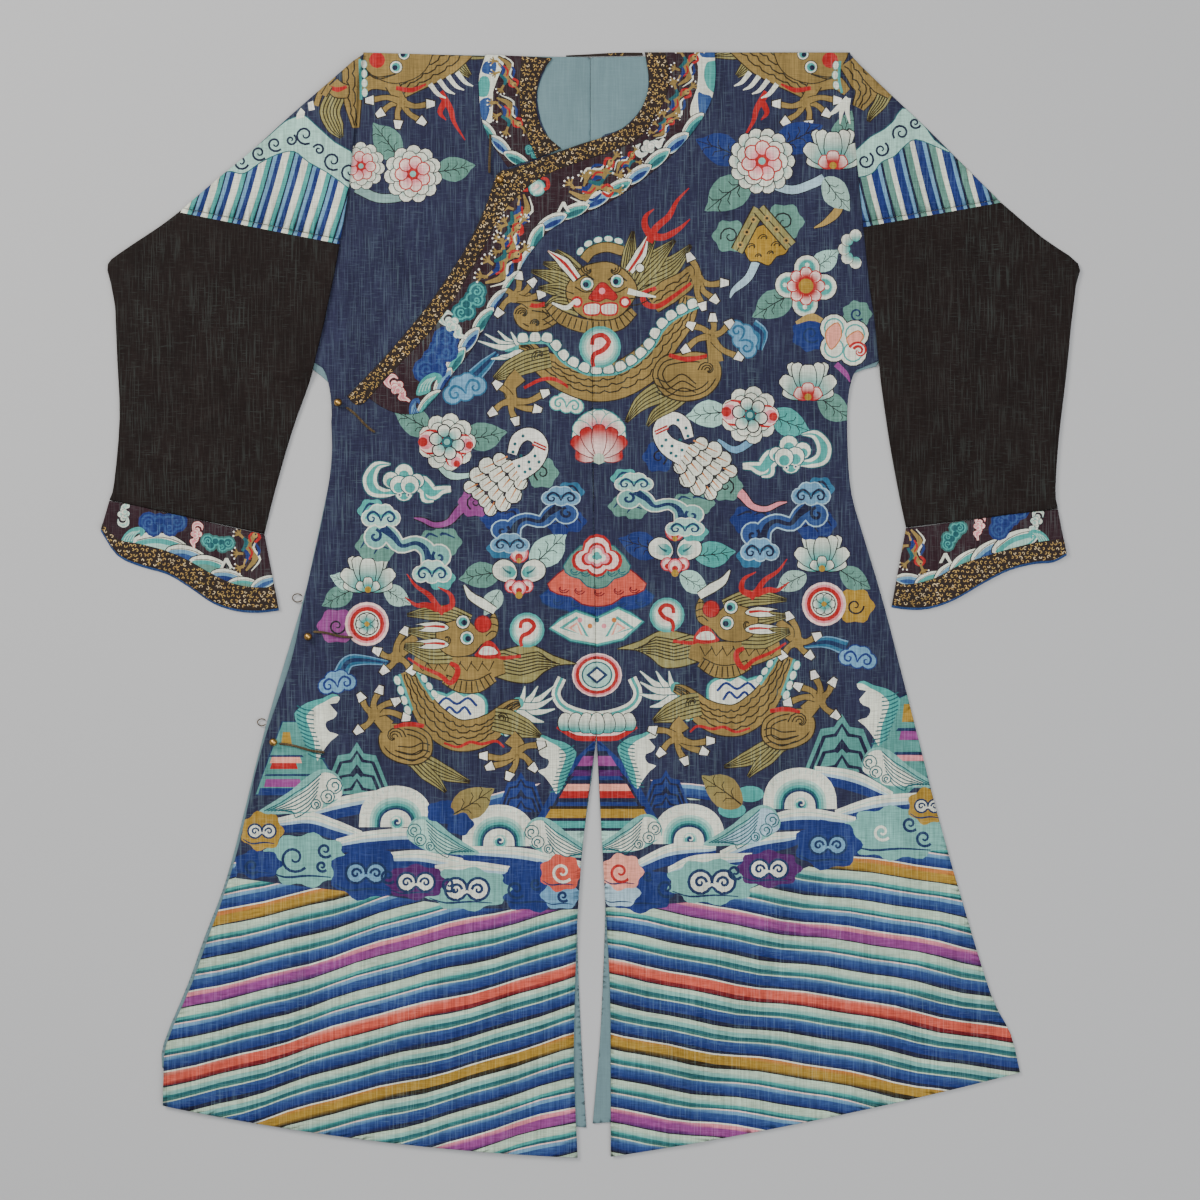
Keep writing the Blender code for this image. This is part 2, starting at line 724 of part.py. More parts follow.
def make_buttons():
    for button in BUTTONS:
        rest = top_of_cloth("front_overlap", button["x"], button["y"]) + LAYER_GAP
        if button["name"] == "neck":
            rest += TRIM_GAP + TRIM_WALL
        ball = bmesh.new()
        bmesh.ops.create_uvsphere(ball, u_segments=12, v_segments=8, radius=BUTTON_DIAMETER / 2)
        centre = (button["x"], button["y"], rest + BUTTON_DIAMETER / 2)
        bmesh.ops.translate(ball, vec=centre, verts=ball.verts)
        mesh = bpy.data.meshes.new("button_" + button["name"])
        ball.to_mesh(mesh)
        ball.free()
        mesh.shade_smooth()
        place("button_" + button["name"], mesh)

        panel = "front_under" if button["name"] == "neck" else "front_overlap"
        start = np.array([button["strap_x0"], button["strap_y0"]], float)
        stop = np.array([button["strap_x1"], button["strap_y1"]], float)
        run = []
        for share in np.linspace(0, 1, 5):
            x, y = start * (1 - share) + stop * share
            height = top_of_cloth(panel, x, y) + TRIM_GAP + STRAP_DIAMETER / 2
            if button["name"] == "neck":
                height += TRIM_WALL + LAYER_GAP
            run.append((x, y, height))
        tube_object("strap_" + button["name"], run, STRAP_DIAMETER)


def make_loops():
    """Thread loops that stand out from the side edge, between the front and the floor."""
    for loop in LOOPS:
        run = []
        for turn in np.linspace(-150, 150, 13):
            out = loop["reach"] / 2 * (1 + math.cos(math.radians(turn)))
            aside = 0.4 * loop["reach"] * math.sin(math.radians(turn))
            run.append((loop["x"] - out, loop["y"] + aside, 1 + LOOP_THREAD / 2))
        tube_object("loop_" + loop["name"], run, LOOP_THREAD)


def centre_on_floor():
    """Puts the origin under the middle of the robe, on the floor."""
    bpy.context.view_layer.update()
    graph = bpy.context.evaluated_depsgraph_get()
    corners = []
    for robe_object in bpy.data.collections[COLLECTION].objects:
        seen = robe_object.evaluated_get(graph)
        mesh = seen.to_mesh()
        corners.extend([list(vertex.co) for vertex in mesh.vertices])
        seen.to_mesh_clear()
    corners = np.array(corners)
    middle = (corners.min(axis=0) + corners.max(axis=0)) / 2
    for robe_object in bpy.data.collections[COLLECTION].objects:
        robe_object.location = (-middle[0], -middle[1], -corners[:, 2].min())


def main():
    for old in list(bpy.data.objects):
        bpy.data.objects.remove(old, do_unlink=True)
    robe = bpy.data.collections.new(COLLECTION)
    bpy.context.scene.collection.children.link(robe)

    make_back("back_left", BACK_LEFT, 5)
    make_back("back_right", BACK_RIGHT, 5)
    make_front("front_under", FRONT_UNDER, 9, seam=False)
    make_front("front_left", FRONT_LEFT, 16)
    make_front("front_overlap", FRONT_OVERLAP, 15)
    make_sleeve("sleeve_upper_right", UPPER_RIGHT, FRONT_UNDER)
    make_sleeve("sleeve_upper_left", UPPER_LEFT, FRONT_LEFT)
    make_sleeve("sleeve_lower_right", LOWER_RIGHT, FRONT_UNDER)
    make_sleeve("sleeve_lower_left", LOWER_LEFT, FRONT_LEFT)
    make_cuff("cuff_right", CUFF_RIGHT, "cuff_binding_right")
    make_cuff("cuff_left", CUFF_LEFT, "cuff_binding_left")
    make_collar()
    make_buttons()
    make_loops()
    centre_on_floor()


main()
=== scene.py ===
import math
import bpy
import numpy as np
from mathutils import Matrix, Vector
from mathutils.geometry import delaunay_2d_cdt


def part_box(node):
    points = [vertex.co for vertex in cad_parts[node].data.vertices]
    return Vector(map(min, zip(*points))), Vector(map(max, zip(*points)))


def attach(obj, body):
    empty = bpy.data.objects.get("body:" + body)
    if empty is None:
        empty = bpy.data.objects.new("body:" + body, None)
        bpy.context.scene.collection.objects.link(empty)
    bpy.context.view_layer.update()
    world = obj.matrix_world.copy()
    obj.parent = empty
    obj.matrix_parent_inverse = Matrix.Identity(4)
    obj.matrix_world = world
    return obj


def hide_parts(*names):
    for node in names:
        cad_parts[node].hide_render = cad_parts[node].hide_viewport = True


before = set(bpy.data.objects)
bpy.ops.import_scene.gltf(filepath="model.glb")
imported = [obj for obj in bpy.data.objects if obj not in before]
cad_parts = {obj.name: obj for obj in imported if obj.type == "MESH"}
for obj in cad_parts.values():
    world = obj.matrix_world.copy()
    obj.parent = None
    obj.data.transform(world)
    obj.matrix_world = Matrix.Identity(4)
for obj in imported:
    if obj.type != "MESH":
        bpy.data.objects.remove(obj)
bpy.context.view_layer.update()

# A dragon robe of silk tapestry, laid flat. Panels are drawn in plan, in millimetres, and woven into one
# surface each: every motif is an area of dyed weft in that surface. Motifs are placed by photo pixels, in
# named columns.

photo = dict(centreX=589.5, centreY=605, pixel=1.27)
walls = dict(
    body=1.5, sleeve=3.9, trim=1.0, air=0.25, trimAir=0.2, frontLevel=1.9, overStep=1.9, stepHighX=-45,
    stepLowX=25,
)


def table(columns, *rows):
    names = columns.split()
    return [dict(zip(names, row)) for row in rows]


def ramp(value):
    value = np.clip(value, 0, 1)
    return value * value * (3 - 2 * value)


def toPlan(points):
    points = np.asarray(points, float)
    return np.stack([(points[:, 0] - photo["centreX"]) * photo["pixel"],
        (photo["centreY"] - points[:, 1]) * photo["pixel"]], axis=1)


# The frame's neck button, in mm, tells where the plan lies in the frame
neckBall = dict(x=-114, y=540)
ballLow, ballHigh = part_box("button_neck")
shiftX = (ballLow[0] + ballHigh[0]) * 500 - neckBall["x"]
shiftY = (ballLow[1] + ballHigh[1]) * 500 - neckBall["y"]


def toMetres(x, y, z):
    return np.stack([x + shiftX, y + shiftY, z], axis=-1) / 1000


# Dyes, in sRGB

dyes = dict(
    navy="2b2c45", night="20203a", gold="8d7543", goldLight="a98c50", goldDark="2f2517", olive="8f8653",
    cream="dedfcd", white="ece9dc", teal="4a9c94", tealDark="24595f", inkBlue="1f2f55", paleTeal="a4ccbd",
    seaTeal="76ada3", leaf="5f8a7c", rock="528c84", leafDark="3a6a66", paleLeaf="9dbcae", royal="22316d",
    mid="304b80", steel="2f6484", celadon="b7cbb3", sky="6b98b6", paleSky="a3c0cd", red="ab2322",
    redDark="6f1720", coral="cb5544", paleCoral="eb9c88", pink="df8890", palePink="f0cdc4",
    magenta="8c4080", plum="4f1d5c", yellow="a58130", lining="6d878c", collarGround="321e25",
    brocadeGround="2b211c", brocadeGold="a9884f", dark="231c22", brown="1f1715", orange="c0743a",
    greyTeal="7f9f98", brocadePale="cbb389", gilt="d9a95c", cord="4d3f2b",
)


def linear(code):
    parts = [int(code[i:i + 2], 16) / 255 for i in (0, 2, 4)]
    return [part / 12.92 if part <= 0.04045 else ((part + 0.055) / 1.055) ** 2.4 for part in parts]


dyeOrder = list(dyes)
dyeColours = np.array([linear(code) for code in dyes.values()])


# The pen: polygons are laid one on another, each in a dye or a blend of two

class Pen:
    def __init__(self):
        self.shapes = []
        self.matrix = np.eye(2)
        self.origin = np.zeros(2)

    def lay(self, points, dye, toDye=None, start=(0, 0), end=(0, 1)):
        points = np.asarray(points, float) @ self.matrix.T + self.origin
        ends = np.array([start, end], float) @ self.matrix.T + self.origin
        self.shapes.append((points, dyeOrder.index(dye), dyeOrder.index(toDye or dye), ends))

    def at(self, x, y, size=1.0, turn=0.0, flip=False, squash=1.0):
        placed = Pen()
        placed.shapes = self.shapes
        c, s = math.cos(math.radians(turn)), math.sin(math.radians(turn))
        local = np.array([[c, -s], [s, c]]) @ np.diag([-size if flip else size, size * squash])
        placed.matrix = self.matrix @ local
        placed.origin = self.matrix @ np.array([x, y], float) + self.origin
        return placed

    def on(self, row):
        flip, squash = bool(row.get("flip")), row.get("squash", 1)
        return self.at(row["x"], row["y"], row.get("size", 1), row.get("turn", 0), flip, squash)


def curve(points, per=4, closed=False):
    points = np.asarray(points, float)
    if per < 2 or len(points) < 3:
        return points
    if closed:
        ring = np.concatenate([points[-1:], points, points[:2]])
    else:
        ring = np.concatenate([2 * points[:1] - points[1:2], points, 2 * points[-1:] - points[-2:-1]])
    share = np.arange(per)[:, None] / per
    parts = []
    for a, b, c, d in zip(ring, ring[1:], ring[2:], ring[3:]):
        parts.append(0.5 * (2 * b + (c - a) * share + (2 * a - 5 * b + 4 * c - d) * share ** 2
            + (3 * b - a - 3 * c + d) * share ** 3))
    if not closed:
        parts.append(points[-1:])
    return np.concatenate(parts)


def sidesOf(path, widths):
    path = np.asarray(path, float)
    run = np.gradient(path, axis=0)
    run /= np.maximum(np.linalg.norm(run, axis=1), 1e-9)[:, None]
    half = np.interp(np.linspace(0, 1, len(path)), np.linspace(0, 1, len(widths)), widths)[:, None] / 2
    across = np.stack([-run[:, 1], run[:, 0]], axis=1)
    return path + across * half, path - across * half


def blob(pen, points, dye, per=3, **blend):
    pen.lay(curve(points, per, True), dye, **blend)


def inset(points, width):
    points = np.asarray(points, float)
    after, before = np.roll(points, -1, axis=0), np.roll(points, 1, axis=0)
    run = after - before
    run /= np.maximum(np.linalg.norm(run, axis=1), 1e-9)[:, None]
    area = (points[:, 0] * after[:, 1] - points[:, 1] * after[:, 0]).sum()
    return points + np.stack([-run[:, 1], run[:, 0]], axis=1) * width * np.sign(area)


def rimmed(pen, points, rim, dye, width, per=3, **blend):
    ring = curve(points, per, True)
    pen.lay(ring, rim)
    pen.lay(inset(ring, width), dye, **blend)


def stroke(pen, points, widths, dye, per=4, **blend):
    widths = widths if isinstance(widths, (list, tuple)) else [widths, widths]
    left, right = sidesOf(curve(points, per), widths)
    pen.lay(np.concatenate([left, right[::-1]]), dye, **blend)


def disc(pen, x, y, radius, dye, sides=12, squash=1.0, **blend):
    turn = np.arange(sides) * 2 * math.pi / sides
    pen.lay(np.stack([x + radius * np.cos(turn), y + radius * squash * np.sin(turn)], axis=1), dye, **blend)


def discs(pen, x, y, radius, layers, sides=12, squash=1.0):
    for share, dye in layers:
        disc(pen, x, y, radius * share, dye, sides, squash)


def edgedStroke(pen, path, widths, rim, dye, grow, per=4):
    stroke(pen, path, [width + grow for width in widths], rim, per)
    stroke(pen, path, widths, dye, per)


def spiral(pen, x, y, radius, dye, width, turns=1.6, start=0.0, hand=1, steps=22):
    share = np.linspace(0, 1, steps)
    angle = math.radians(start) + hand * share * turns * 2 * math.pi
    reach = radius * (1 - 0.86 * share)
    path = np.stack([x + reach * np.cos(angle), y + reach * np.sin(angle)], axis=1)
    left, right = sidesOf(path, [width, width, width * 0.6])
    pen.lay(np.concatenate([left, right[::-1]]), dye)


# Cloth surfaces

def segmentDistance(points, ring):
    start, run = ring, np.roll(ring, -1, axis=0) - ring
    square = np.maximum((run ** 2).sum(axis=1), 1e-12)
    nearest = np.empty(len(points))
    for low in range(0, len(points), 3000):
        gap = points[low:low + 3000, None] - start[None]
        share = np.clip((gap * run[None]).sum(axis=2) / square, 0, 1)
        away = gap - share[..., None] * run[None]
        nearest[low:low + 3000] = np.sqrt((away ** 2).sum(axis=2)).min(axis=1)
    return nearest


def isInside(points, ring):
    inside = np.zeros(len(points), bool)
    x, y = points[:, 0], points[:, 1]
    for (ax, ay), (bx, by) in zip(ring, np.roll(ring, -1, axis=0)):
        if ay == by:
            continue
        crosses = (ay > y) != (by > y)
        inside ^= crosses & (x < (bx - ax) * (y - ay) / (by - ay) + ax)
    return inside


def counterClockwise(points):
    after = np.roll(points, -1, axis=0)
    area = (points[:, 0] * after[:, 1] - points[:, 1] * after[:, 0]).sum()
    return points if area > 0 else points[::-1]


def resampled(ring, spacing):
    parts = []
    for a, b in zip(ring, np.roll(ring, -1, axis=0)):
        count = max(1, math.ceil(np.linalg.norm(b - a) / spacing))
        parts.append(a + (b - a) * (np.arange(count) / count)[:, None])
    return np.concatenate(parts)


def innerPoints(ring, spacing, edge, seed):
    low, high = ring.min(axis=0), ring.max(axis=0)
    xs = np.arange(low[0], high[0], spacing)
    ys = np.arange(low[1], high[1], spacing * 0.866)
    grid = np.stack(np.meshgrid(xs, ys), axis=-1)
    grid[1::2, :, 0] += spacing / 2
    noise = np.random.default_rng(seed).uniform(-0.12, 0.12, (grid.size // 2, 2))
    grid = grid.reshape(-1, 2) + noise * spacing
    grid = grid[isInside(grid, ring)]
    grid = grid[segmentDistance(grid, ring) > edge * 1.3 + spacing * 0.25]
    shoulder = inset(ring, edge)
    shoulder = shoulder[isInside(shoulder, ring)]
    half = inset(ring, edge * 0.3)
    half = half[isInside(half, ring)]
    kept = [grid]
    for line, reach in ((shoulder, edge * 0.8), (half, edge * 0.22)):
        kept.append(line[segmentDistance(line, ring) > reach])
    return np.concatenate(kept)


def triangulated(ring, shapes, points):
    verts = [tuple(p) for p in ring]
    faces = [list(range(len(ring)))]
    for shape in shapes:
        faces.append(list(range(len(verts), len(verts) + len(shape))))
        verts.extend(tuple(p) for p in shape)
    verts.extend(tuple(p) for p in points)
    out, _, tris, _, _, owners = delaunay_2d_cdt(verts, [], faces, 0, 1e-6, True)
    flat = np.array([tuple(p) for p in out])
    # A shape that crosses itself can leak, so it never colours a triangle outside its own box
    boxes = [(-math.inf, math.inf, -math.inf, math.inf)]
    boxes += [(s[:, 0].min(), s[:, 0].max(), s[:, 1].min(), s[:, 1].max()) for s in map(np.asarray, shapes)]
    kept, tops = [], []
    for tri, owner in zip(tris, owners):
        if 0 in owner:
            x, y = flat[list(tri)].mean(axis=0)
            kept.append(tri)
            tops.append(max(i for i in owner if boxes[i][0] <= x <= boxes[i][1]
                and boxes[i][2] <= y <= boxes[i][3]))
    return flat, np.array(kept), np.array(tops)


def edgeLoop(tris):
    onward = {}
    edges = set()
    for a, b, c in tris.tolist():
        edges.update(((a, b), (b, c), (c, a)))
    for a, b in edges:
        if (b, a) not in edges:
            onward[a] = b
    first = next(iter(onward))
    loop = [first]
    while onward[loop[-1]] != first:
        loop.append(onward[loop[-1]])
    return loop


def rounding(distance, edge):
    return 1 - np.sqrt(np.clip(1 - (1 - np.minimum(distance / edge, 1)) ** 2, 0, 1))


def compacted(plan, tris):
    used = np.unique(tris)
    place = np.full(len(plan), -1)
    place[used] = np.arange(len(used))
    return plan[used], place[tris]


def addPiece(name, spots, faces, materials):
    mesh = bpy.data.meshes.new(name)
    mesh.from_pydata(spots.tolist(), [], faces)
    for material in materials:
        mesh.materials.append(material)
    mesh.shade_smooth()
    piece = bpy.data.objects.new(name, mesh)
    bpy.context.scene.collection.objects.link(piece)
    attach(piece, "root")
    return piece


# The inside of a flattened tube: two facing skins, a little apart, that meet at their rim
def tubeInside(ring, grid, upper, lower, shrink=0.95):
    middle = ring.mean(axis=0)
    ring = middle + (ring - middle) * shrink
    plan, tris, _ = triangulated(ring, [], innerPoints(ring, grid, 2.0, 13))
    plan, tris = compacted(plan, tris)
    loop = edgeLoop(tris)
    distance = segmentDistance(plan, ring)
    distance[loop] = 0
    isFree = np.ones(len(plan), bool)
    isFree[loop] = False
    top, bottom = upper(plan[:, 0], plan[:, 1]), lower(plan[:, 0], plan[:, 1])
    half = 0.14 * (top - bottom) * np.minimum(distance / 4, 1)
    above, under = (toMetres(plan[:, 0], plan[:, 1], (top + bottom) / 2 + side * half) for side in (1, -1))
    below = np.arange(len(plan))
    below[isFree] = len(plan) + np.arange(isFree.sum())
    return np.concatenate([above, under[isFree]]), np.concatenate([tris[:, ::-1], below[tris]])


# One closed piece of cloth. Its drawn face is woven from the pen's shapes, its other face is lining
def cutCloth(name, ring, pen, ground, upper, lower, weave, lining, edge=1.0, grid=7.0, underGrid=16.0,
        faceUp=True, extra=None, isTube=False, underDye="lining",
        metal=("gold", "goldLight", "brocadeGold")):
    ring = resampled(counterClockwise(np.asarray(ring, float)), grid)
    low, high = ring.min(axis=0), ring.max(axis=0)
    shapes = [(counterClockwise(toPlan(p)), a, b, toPlan(ends)) for p, a, b, ends in pen.shapes]
    shapes = [s for s in shapes if (s[0].max(axis=0) > low).all() and (s[0].min(axis=0) < high).all()]
    inner = innerPoints(ring, grid, edge, 7)
    if extra is not None:
        extra = extra[isInside(extra, ring)]
        inner = np.concatenate([inner, extra[segmentDistance(extra, ring) > edge * 1.5]])
    plan, tris, tops = triangulated(ring, [s[0] for s in shapes], inner)
    plan, tris = compacted(plan, tris)
    loop = edgeLoop(tris)
    rim = plan[loop]
    distance = segmentDistance(plan, ring)
    distance[loop] = 0

    underInner = innerPoints(ring, underGrid, edge, 11)
    under, underTris, _ = triangulated(rim, [], underInner)
    used = np.unique(underTris)
    isRim = {tuple(np.round(p, 4)): i for p, i in zip(rim, loop)}
    joined = {}
    fresh = []
    for i in used:
        key = tuple(np.round(under[i], 4))
        if key in isRim:
            joined[i] = isRim[key]
        else:
            joined[i] = len(plan) + len(fresh)
            fresh.append(under[i])
    fresh = np.array(fresh)
    underTris = np.array([[joined[i] for i in tri] for tri in underTris])

    def heights(x, y, gap, isUpper):
        top, bottom = upper(x, y), lower(x, y)
        middle = (top + bottom) / 2
        return (top if isUpper else bottom) + (middle - (top if isUpper else bottom)) * rounding(gap, edge)

    drawnZ = heights(plan[:, 0], plan[:, 1], distance, faceUp)
    underZ = heights(fresh[:, 0], fresh[:, 1], segmentDistance(fresh, ring), not faceUp)
    spots = np.concatenate([toMetres(plan[:, 0], plan[:, 1], drawnZ),
        toMetres(fresh[:, 0], fresh[:, 1], underZ)])
    faces = np.concatenate([tris, underTris[:, ::-1]])
    if not faceUp:
        faces = faces[:, ::-1]
    if isTube:
        inside, insideFaces = tubeInside(ring, underGrid, upper, lower)
        faces = np.concatenate([faces, insideFaces + len(spots)])
        spots = np.concatenate([spots, inside])
    piece = addPiece(name, spots, faces.tolist(), [*weave, lining])

    first = np.array([dyeOrder.index(ground)] + [s[1] for s in shapes])
    second = np.array([dyeOrder.index(ground)] + [s[2] for s in shapes])
    ends = np.array([[(0, 0), (0, 1)]] + [s[3] for s in shapes], float)
    corners = plan[tris]
    start, run = ends[tops][:, 0], ends[tops][:, 1] - ends[tops][:, 0]
    square = np.maximum((run ** 2).sum(axis=1), 1e-9)
    along = ((corners - start[:, None]) * run[:, None]).sum(axis=2)
    share = np.clip(along / square[:, None], 0, 1)[..., None]
    colours = dyeColours[first[tops]][:, None] * (1 - share) + dyeColours[second[tops]][:, None] * share
    if not faceUp:
        colours = colours[:, ::-1]
    whole = np.ones((len(faces), 3, 4))
    whole[:len(tris), :, :3] = colours
    whole[len(tris):, :, :3] = linear(dyes[underDye])
    attribute = piece.data.color_attributes.new("dye", "FLOAT_COLOR", "CORNER")
    attribute.data.foreach_set("color", whole.ravel())
    metalDyes = [dyeOrder.index(m) for m in metal]
    drawnSlots = np.isin(first[tops], metalDyes).astype(int)
    slots = np.concatenate([drawnSlots, np.full(len(faces) - len(tris), 2)])
    piece.data.polygons.foreach_set("material_index", slots)
    print("cut", name, len(faces), flush=True)
    return piece


# Materials. Each names the real cloth or metal and how it was made.

def addNode(material, kind, inputs=None, **settings):
    made = material.node_tree.nodes.new("ShaderNode" + kind)
    for key, value in settings.items():
        setattr(made, key, value)
    for key, value in (inputs or {}).items():
        if isinstance(value, bpy.types.NodeSocket):
            material.node_tree.links.new(value, made.inputs[key])
        else:
            made.inputs[key].default_value = value
    return made


def newMaterial(name):
    material = bpy.data.materials.new(name)
    material.use_nodes = True
    material.node_tree.nodes.clear()
    return material


def noise(material, place, scale, stretch=(1, 1, 1), detail=3, rough=0.55):
    moved = addNode(material, "Mapping", {"Vector": place, "Scale": stretch})
    return addNode(material, "TexNoise", {"Vector": moved.outputs[0], "Scale": scale, "Detail": detail,
        "Roughness": rough}).outputs[0]


def ranged(material, value, low, high, toLow, toHigh):
    return addNode(material, "MapRange",
        {"Value": value, "From Min": low, "From Max": high, "To Min": toLow, "To Max": toHigh}).outputs[0]


def mixed(material, share, first, second, blend="MIX"):
    made = addNode(material, "Mix", {0: share, 6: first, 7: second}, data_type="RGBA", blend_type=blend)
    return made.outputs[2]


def grey(value):
    return (value, value, value, 1)


def wovenSilk(name, colour=None, roughness=0.7, sheen=0.04, metallic=0.0, rib=1.1, ribDepth=0.3, slub=0.28,
        mottle=0.14, wear=0.24, wearDye="greyTeal", bumpDistance=0.0004):
    material = newMaterial(name)
    place = addNode(material, "TexCoord").outputs["Object"]
    if colour is None:
        base = addNode(material, "VertexColor", layer_name="dye").outputs[0]
    else:
        base = addNode(material, "RGB").outputs[0]
        base.default_value = (*linear(dyes[colour]), 1)
    weft = noise(material, place, 260, (0.25, 3.0, 1), 2, 0.6)
    warp = noise(material, place, 230, (3.0, 0.1, 1), 2, 0.6)
    broad = noise(material, place, 16, (1.6, 0.8, 1), 4, 0.6)
    rubbed = noise(material, place, 7, (1.6, 0.7, 1), 5, 0.65)
    toned = mixed(material, 1.0, base, ranged(material, weft, 0.3, 0.7, 1 - slub * 0.7, 1 + slub * 0.7),
        "MULTIPLY")
    toned = mixed(material, 1.0, toned, ranged(material, warp, 0.3, 0.7, 1 - slub, 1 + slub), "MULTIPLY")
    toned = mixed(material, 1.0, toned, ranged(material, broad, 0.3, 0.7, 1 - mottle, 1 + mottle),
        "MULTIPLY")
    threads = addNode(material, "Math",
        {0: ranged(material, warp, 0.52, 0.66, 0, wear), 1: ranged(material, weft, 0.58, 0.7, 0, wear)},
        operation="MAXIMUM")
    bare = addNode(material, "Math",
        {0: ranged(material, rubbed, 0.42, 0.7, 0.35, 1), 1: threads.outputs[0]}, operation="MULTIPLY")
    toned = mixed(material, bare.outputs[0], toned, (*linear(dyes[wearDye]), 1))
    ribs = addNode(material, "TexWave", {"Vector": place, "Scale": 1000 / rib / 20, "Distortion": 0.6,
        "Detail": 1, "Detail Scale": 2.0}, bands_direction="X")
    relief = addNode(material, "Math", {0: ribs.outputs["Fac"], 1: weft}, operation="ADD")
    bump = addNode(material, "Bump",
        {"Height": relief.outputs[0], "Strength": ribDepth, "Distance": bumpDistance})
    shader = addNode(material, "BsdfPrincipled",
        {"Base Color": toned, "Normal": bump.outputs[0], "Roughness": roughness, "Metallic": metallic})
    shader.inputs["Sheen Weight"].default_value = sheen
    shader.inputs["Sheen Roughness"].default_value = 0.4
    shader.inputs["Specular IOR Level"].default_value = 0.12
    addNode(material, "OutputMaterial", {"Surface": shader.outputs[0]})
    return material


# Tapestry-woven floss silk: fine ribs, uneven dye from thread to thread
tapestrySilk = wovenSilk("tapestryWovenFlossSilk")
# Gilt-paper strip wound on silk: a little brighter and smoother than the silk round it
giltThread = wovenSilk("giltThreadTapestry", roughness=0.55, metallic=0.12, slub=0.26, mottle=0.22,
    wear=0.08, wearDye="goldDark")
# Plain ribbed silk of the forearms: dull brown-black with fine lines across
plainSilk = wovenSilk("ribbedPlainSilk", roughness=0.7, slub=0.24, mottle=0.14, wear=0.1,
    wearDye="greyTeal", rib=2.2, ribDepth=0.5)
# Thin damask of the lining: pale blue-grey, soft and even
liningSilk = wovenSilk("paleBlueLiningSilk", colour="lining", roughness=0.7, slub=0.06, mottle=0.07,
    wear=0.05, wearDye="paleTeal", ribDepth=0.12)
# Brocade of the bindings: a dark satin ground, with scrolls of gilt strip a little above it
brocadeSilk = wovenSilk("darkSatinBrocade", roughness=0.5, sheen=0.2, slub=0.2, wear=0.05, wearDye="brown",
    rib=1.6, ribDepth=0.4)
giltBrocade = wovenSilk("giltStripBrocade", roughness=0.42, metallic=0.35, sheen=0.05, slub=0.3, mottle=0.3,
    wear=0.1, wearDye="goldDark", rib=1.2, ribDepth=0.5)
# Silk bound round a cord core, in two strands
boundCord = wovenSilk("twistedSilkCord", colour="cord", roughness=0.6, sheen=0.2, slub=0.35, wear=0.2,
    wearDye="brocadeGold", rib=0.9, ribDepth=0.6)


# Cast and gilded brass: soft highlights, rubbed dark in the hollows
def castMetal(name, colour, worn):
    material = newMaterial(name)
    place = addNode(material, "TexCoord").outputs["Object"]
    rubbed = noise(material, place, 420, (1, 1, 1), 3, 0.6)
    toned = mixed(material, ranged(material, rubbed, 0.45, 0.7, 0, 0.7), (*linear(dyes[colour]), 1),
        (*linear(dyes[worn]), 1))
    bump = addNode(material, "Bump", {"Height": rubbed, "Strength": 0.3, "Distance": 0.0003})
    shader = addNode(material, "BsdfPrincipled",
        {"Base Color": toned, "Metallic": 1.0, "Normal": bump.outputs[0],
        "Roughness": ranged(material, rubbed, 0.3, 0.8, 0.28, 0.5)})
    addNode(material, "OutputMaterial", {"Surface": shader.outputs[0]})
    return material


castGilt = castMetal("castGiltBrass", "gilt", "goldDark")

# Outlines, in mm, from the shoulder down: the end at the centre, then at the side

panelColumns = "inX inY outX outY bow"

frontLeftRows = table(
    panelColumns,
    (71, 702, 331, 702, 0), (75, 662, 347, 641, 0), (66, 631, 351, 578, 0), (41, 605, 355, 514, 0),
    (11, 591, 360, 451, 0), (1.2, 540, 367, 375, 0), (2.2, 430, 374, 319, 0), (3.2, 400, 350, 303, 0),
    (3.3, 380, 336, 294, 0), (4.2, 325, 328, 258, 0), (4.2, 240, 328, 195, 0), (5.2, 160, 333, 140, 0),
    (6.2, 80, 349, 84, 0), (7.2, 0, 374, 0, 0), (8.2, -82, 396, -85, 0), (9.2, -163, 419, -175, 0),
    (13, -248, 441, -262, 0), (20, -375, 474, -378, 0), (26, -488, 510, -495, 3), (27, -600, 535, -545, 5),
    (27, -701, 547, -594, 7),
)

frontOverlapRows = table(
    panelColumns,
    (0.8, 586, -117, 547, 0), (0.8, 546, -132, 504, 0), (1.8, 476, -158, 453, 0), (2.8, 425, -183, 414, 0),
    (3.8, 383, -203, 382, 0), (3.8, 343, -232, 346, 0), (3.8, 301, -266, 308, 0), (3.8, 262, -312, 263, 0),
    (3.8, 240, -327, 246, 0), (4.8, 200, -327, 200, 0), (4.8, 160, -330, 162, 0), (5.8, 112, -339, 112, 0),
    (5.8, 62, -350, 62, 0), (6.8, 0, -364, -1, 0), (7.8, -70, -379, -72, 0), (8.8, -160, -408, -156, 0),
    (2, -216, -425, -216, 0), (-8, -299, -444, -300, 0), (-14, -375, -463, -365, 0),
    (-17, -440, -483, -419, 2), (-19, -515, -505, -481, 4), (-20, -580, -537, -557, 7),
    (-18, -640, -541, -600, 9), (-15, -702, -542, -636, 11),
)

frontUnderRows = table(
    panelColumns,
    (-50, 695, -287, 702, 0), (-66, 654, -309, 641, 0), (-62, 616, -316, 578, 0), (-51, 590, -323, 514, 0),
    (-50, 560, -331, 451, 0), (-56, 476, -342, 375, 0), (-62, 410, -356, 318, 0), (-62, 390, -339, 301, 0),
    (-62, 368, -332, 283, 0), (-62, 330, -328, 255, 0), (-62, 230, -327, 200, 0), (-62, 150, -330, 162, 0),
    (-64, 62, -349, 62, 0), (-66, -70, -378, -72, 0), (-70, -160, -407, -156, 0),
    (-75, -300, -443, -300, 0), (-82, -440, -482, -419, 2), (-95, -560, -514, -505, 4),
    (-100, -650, -535, -565, 8),
)

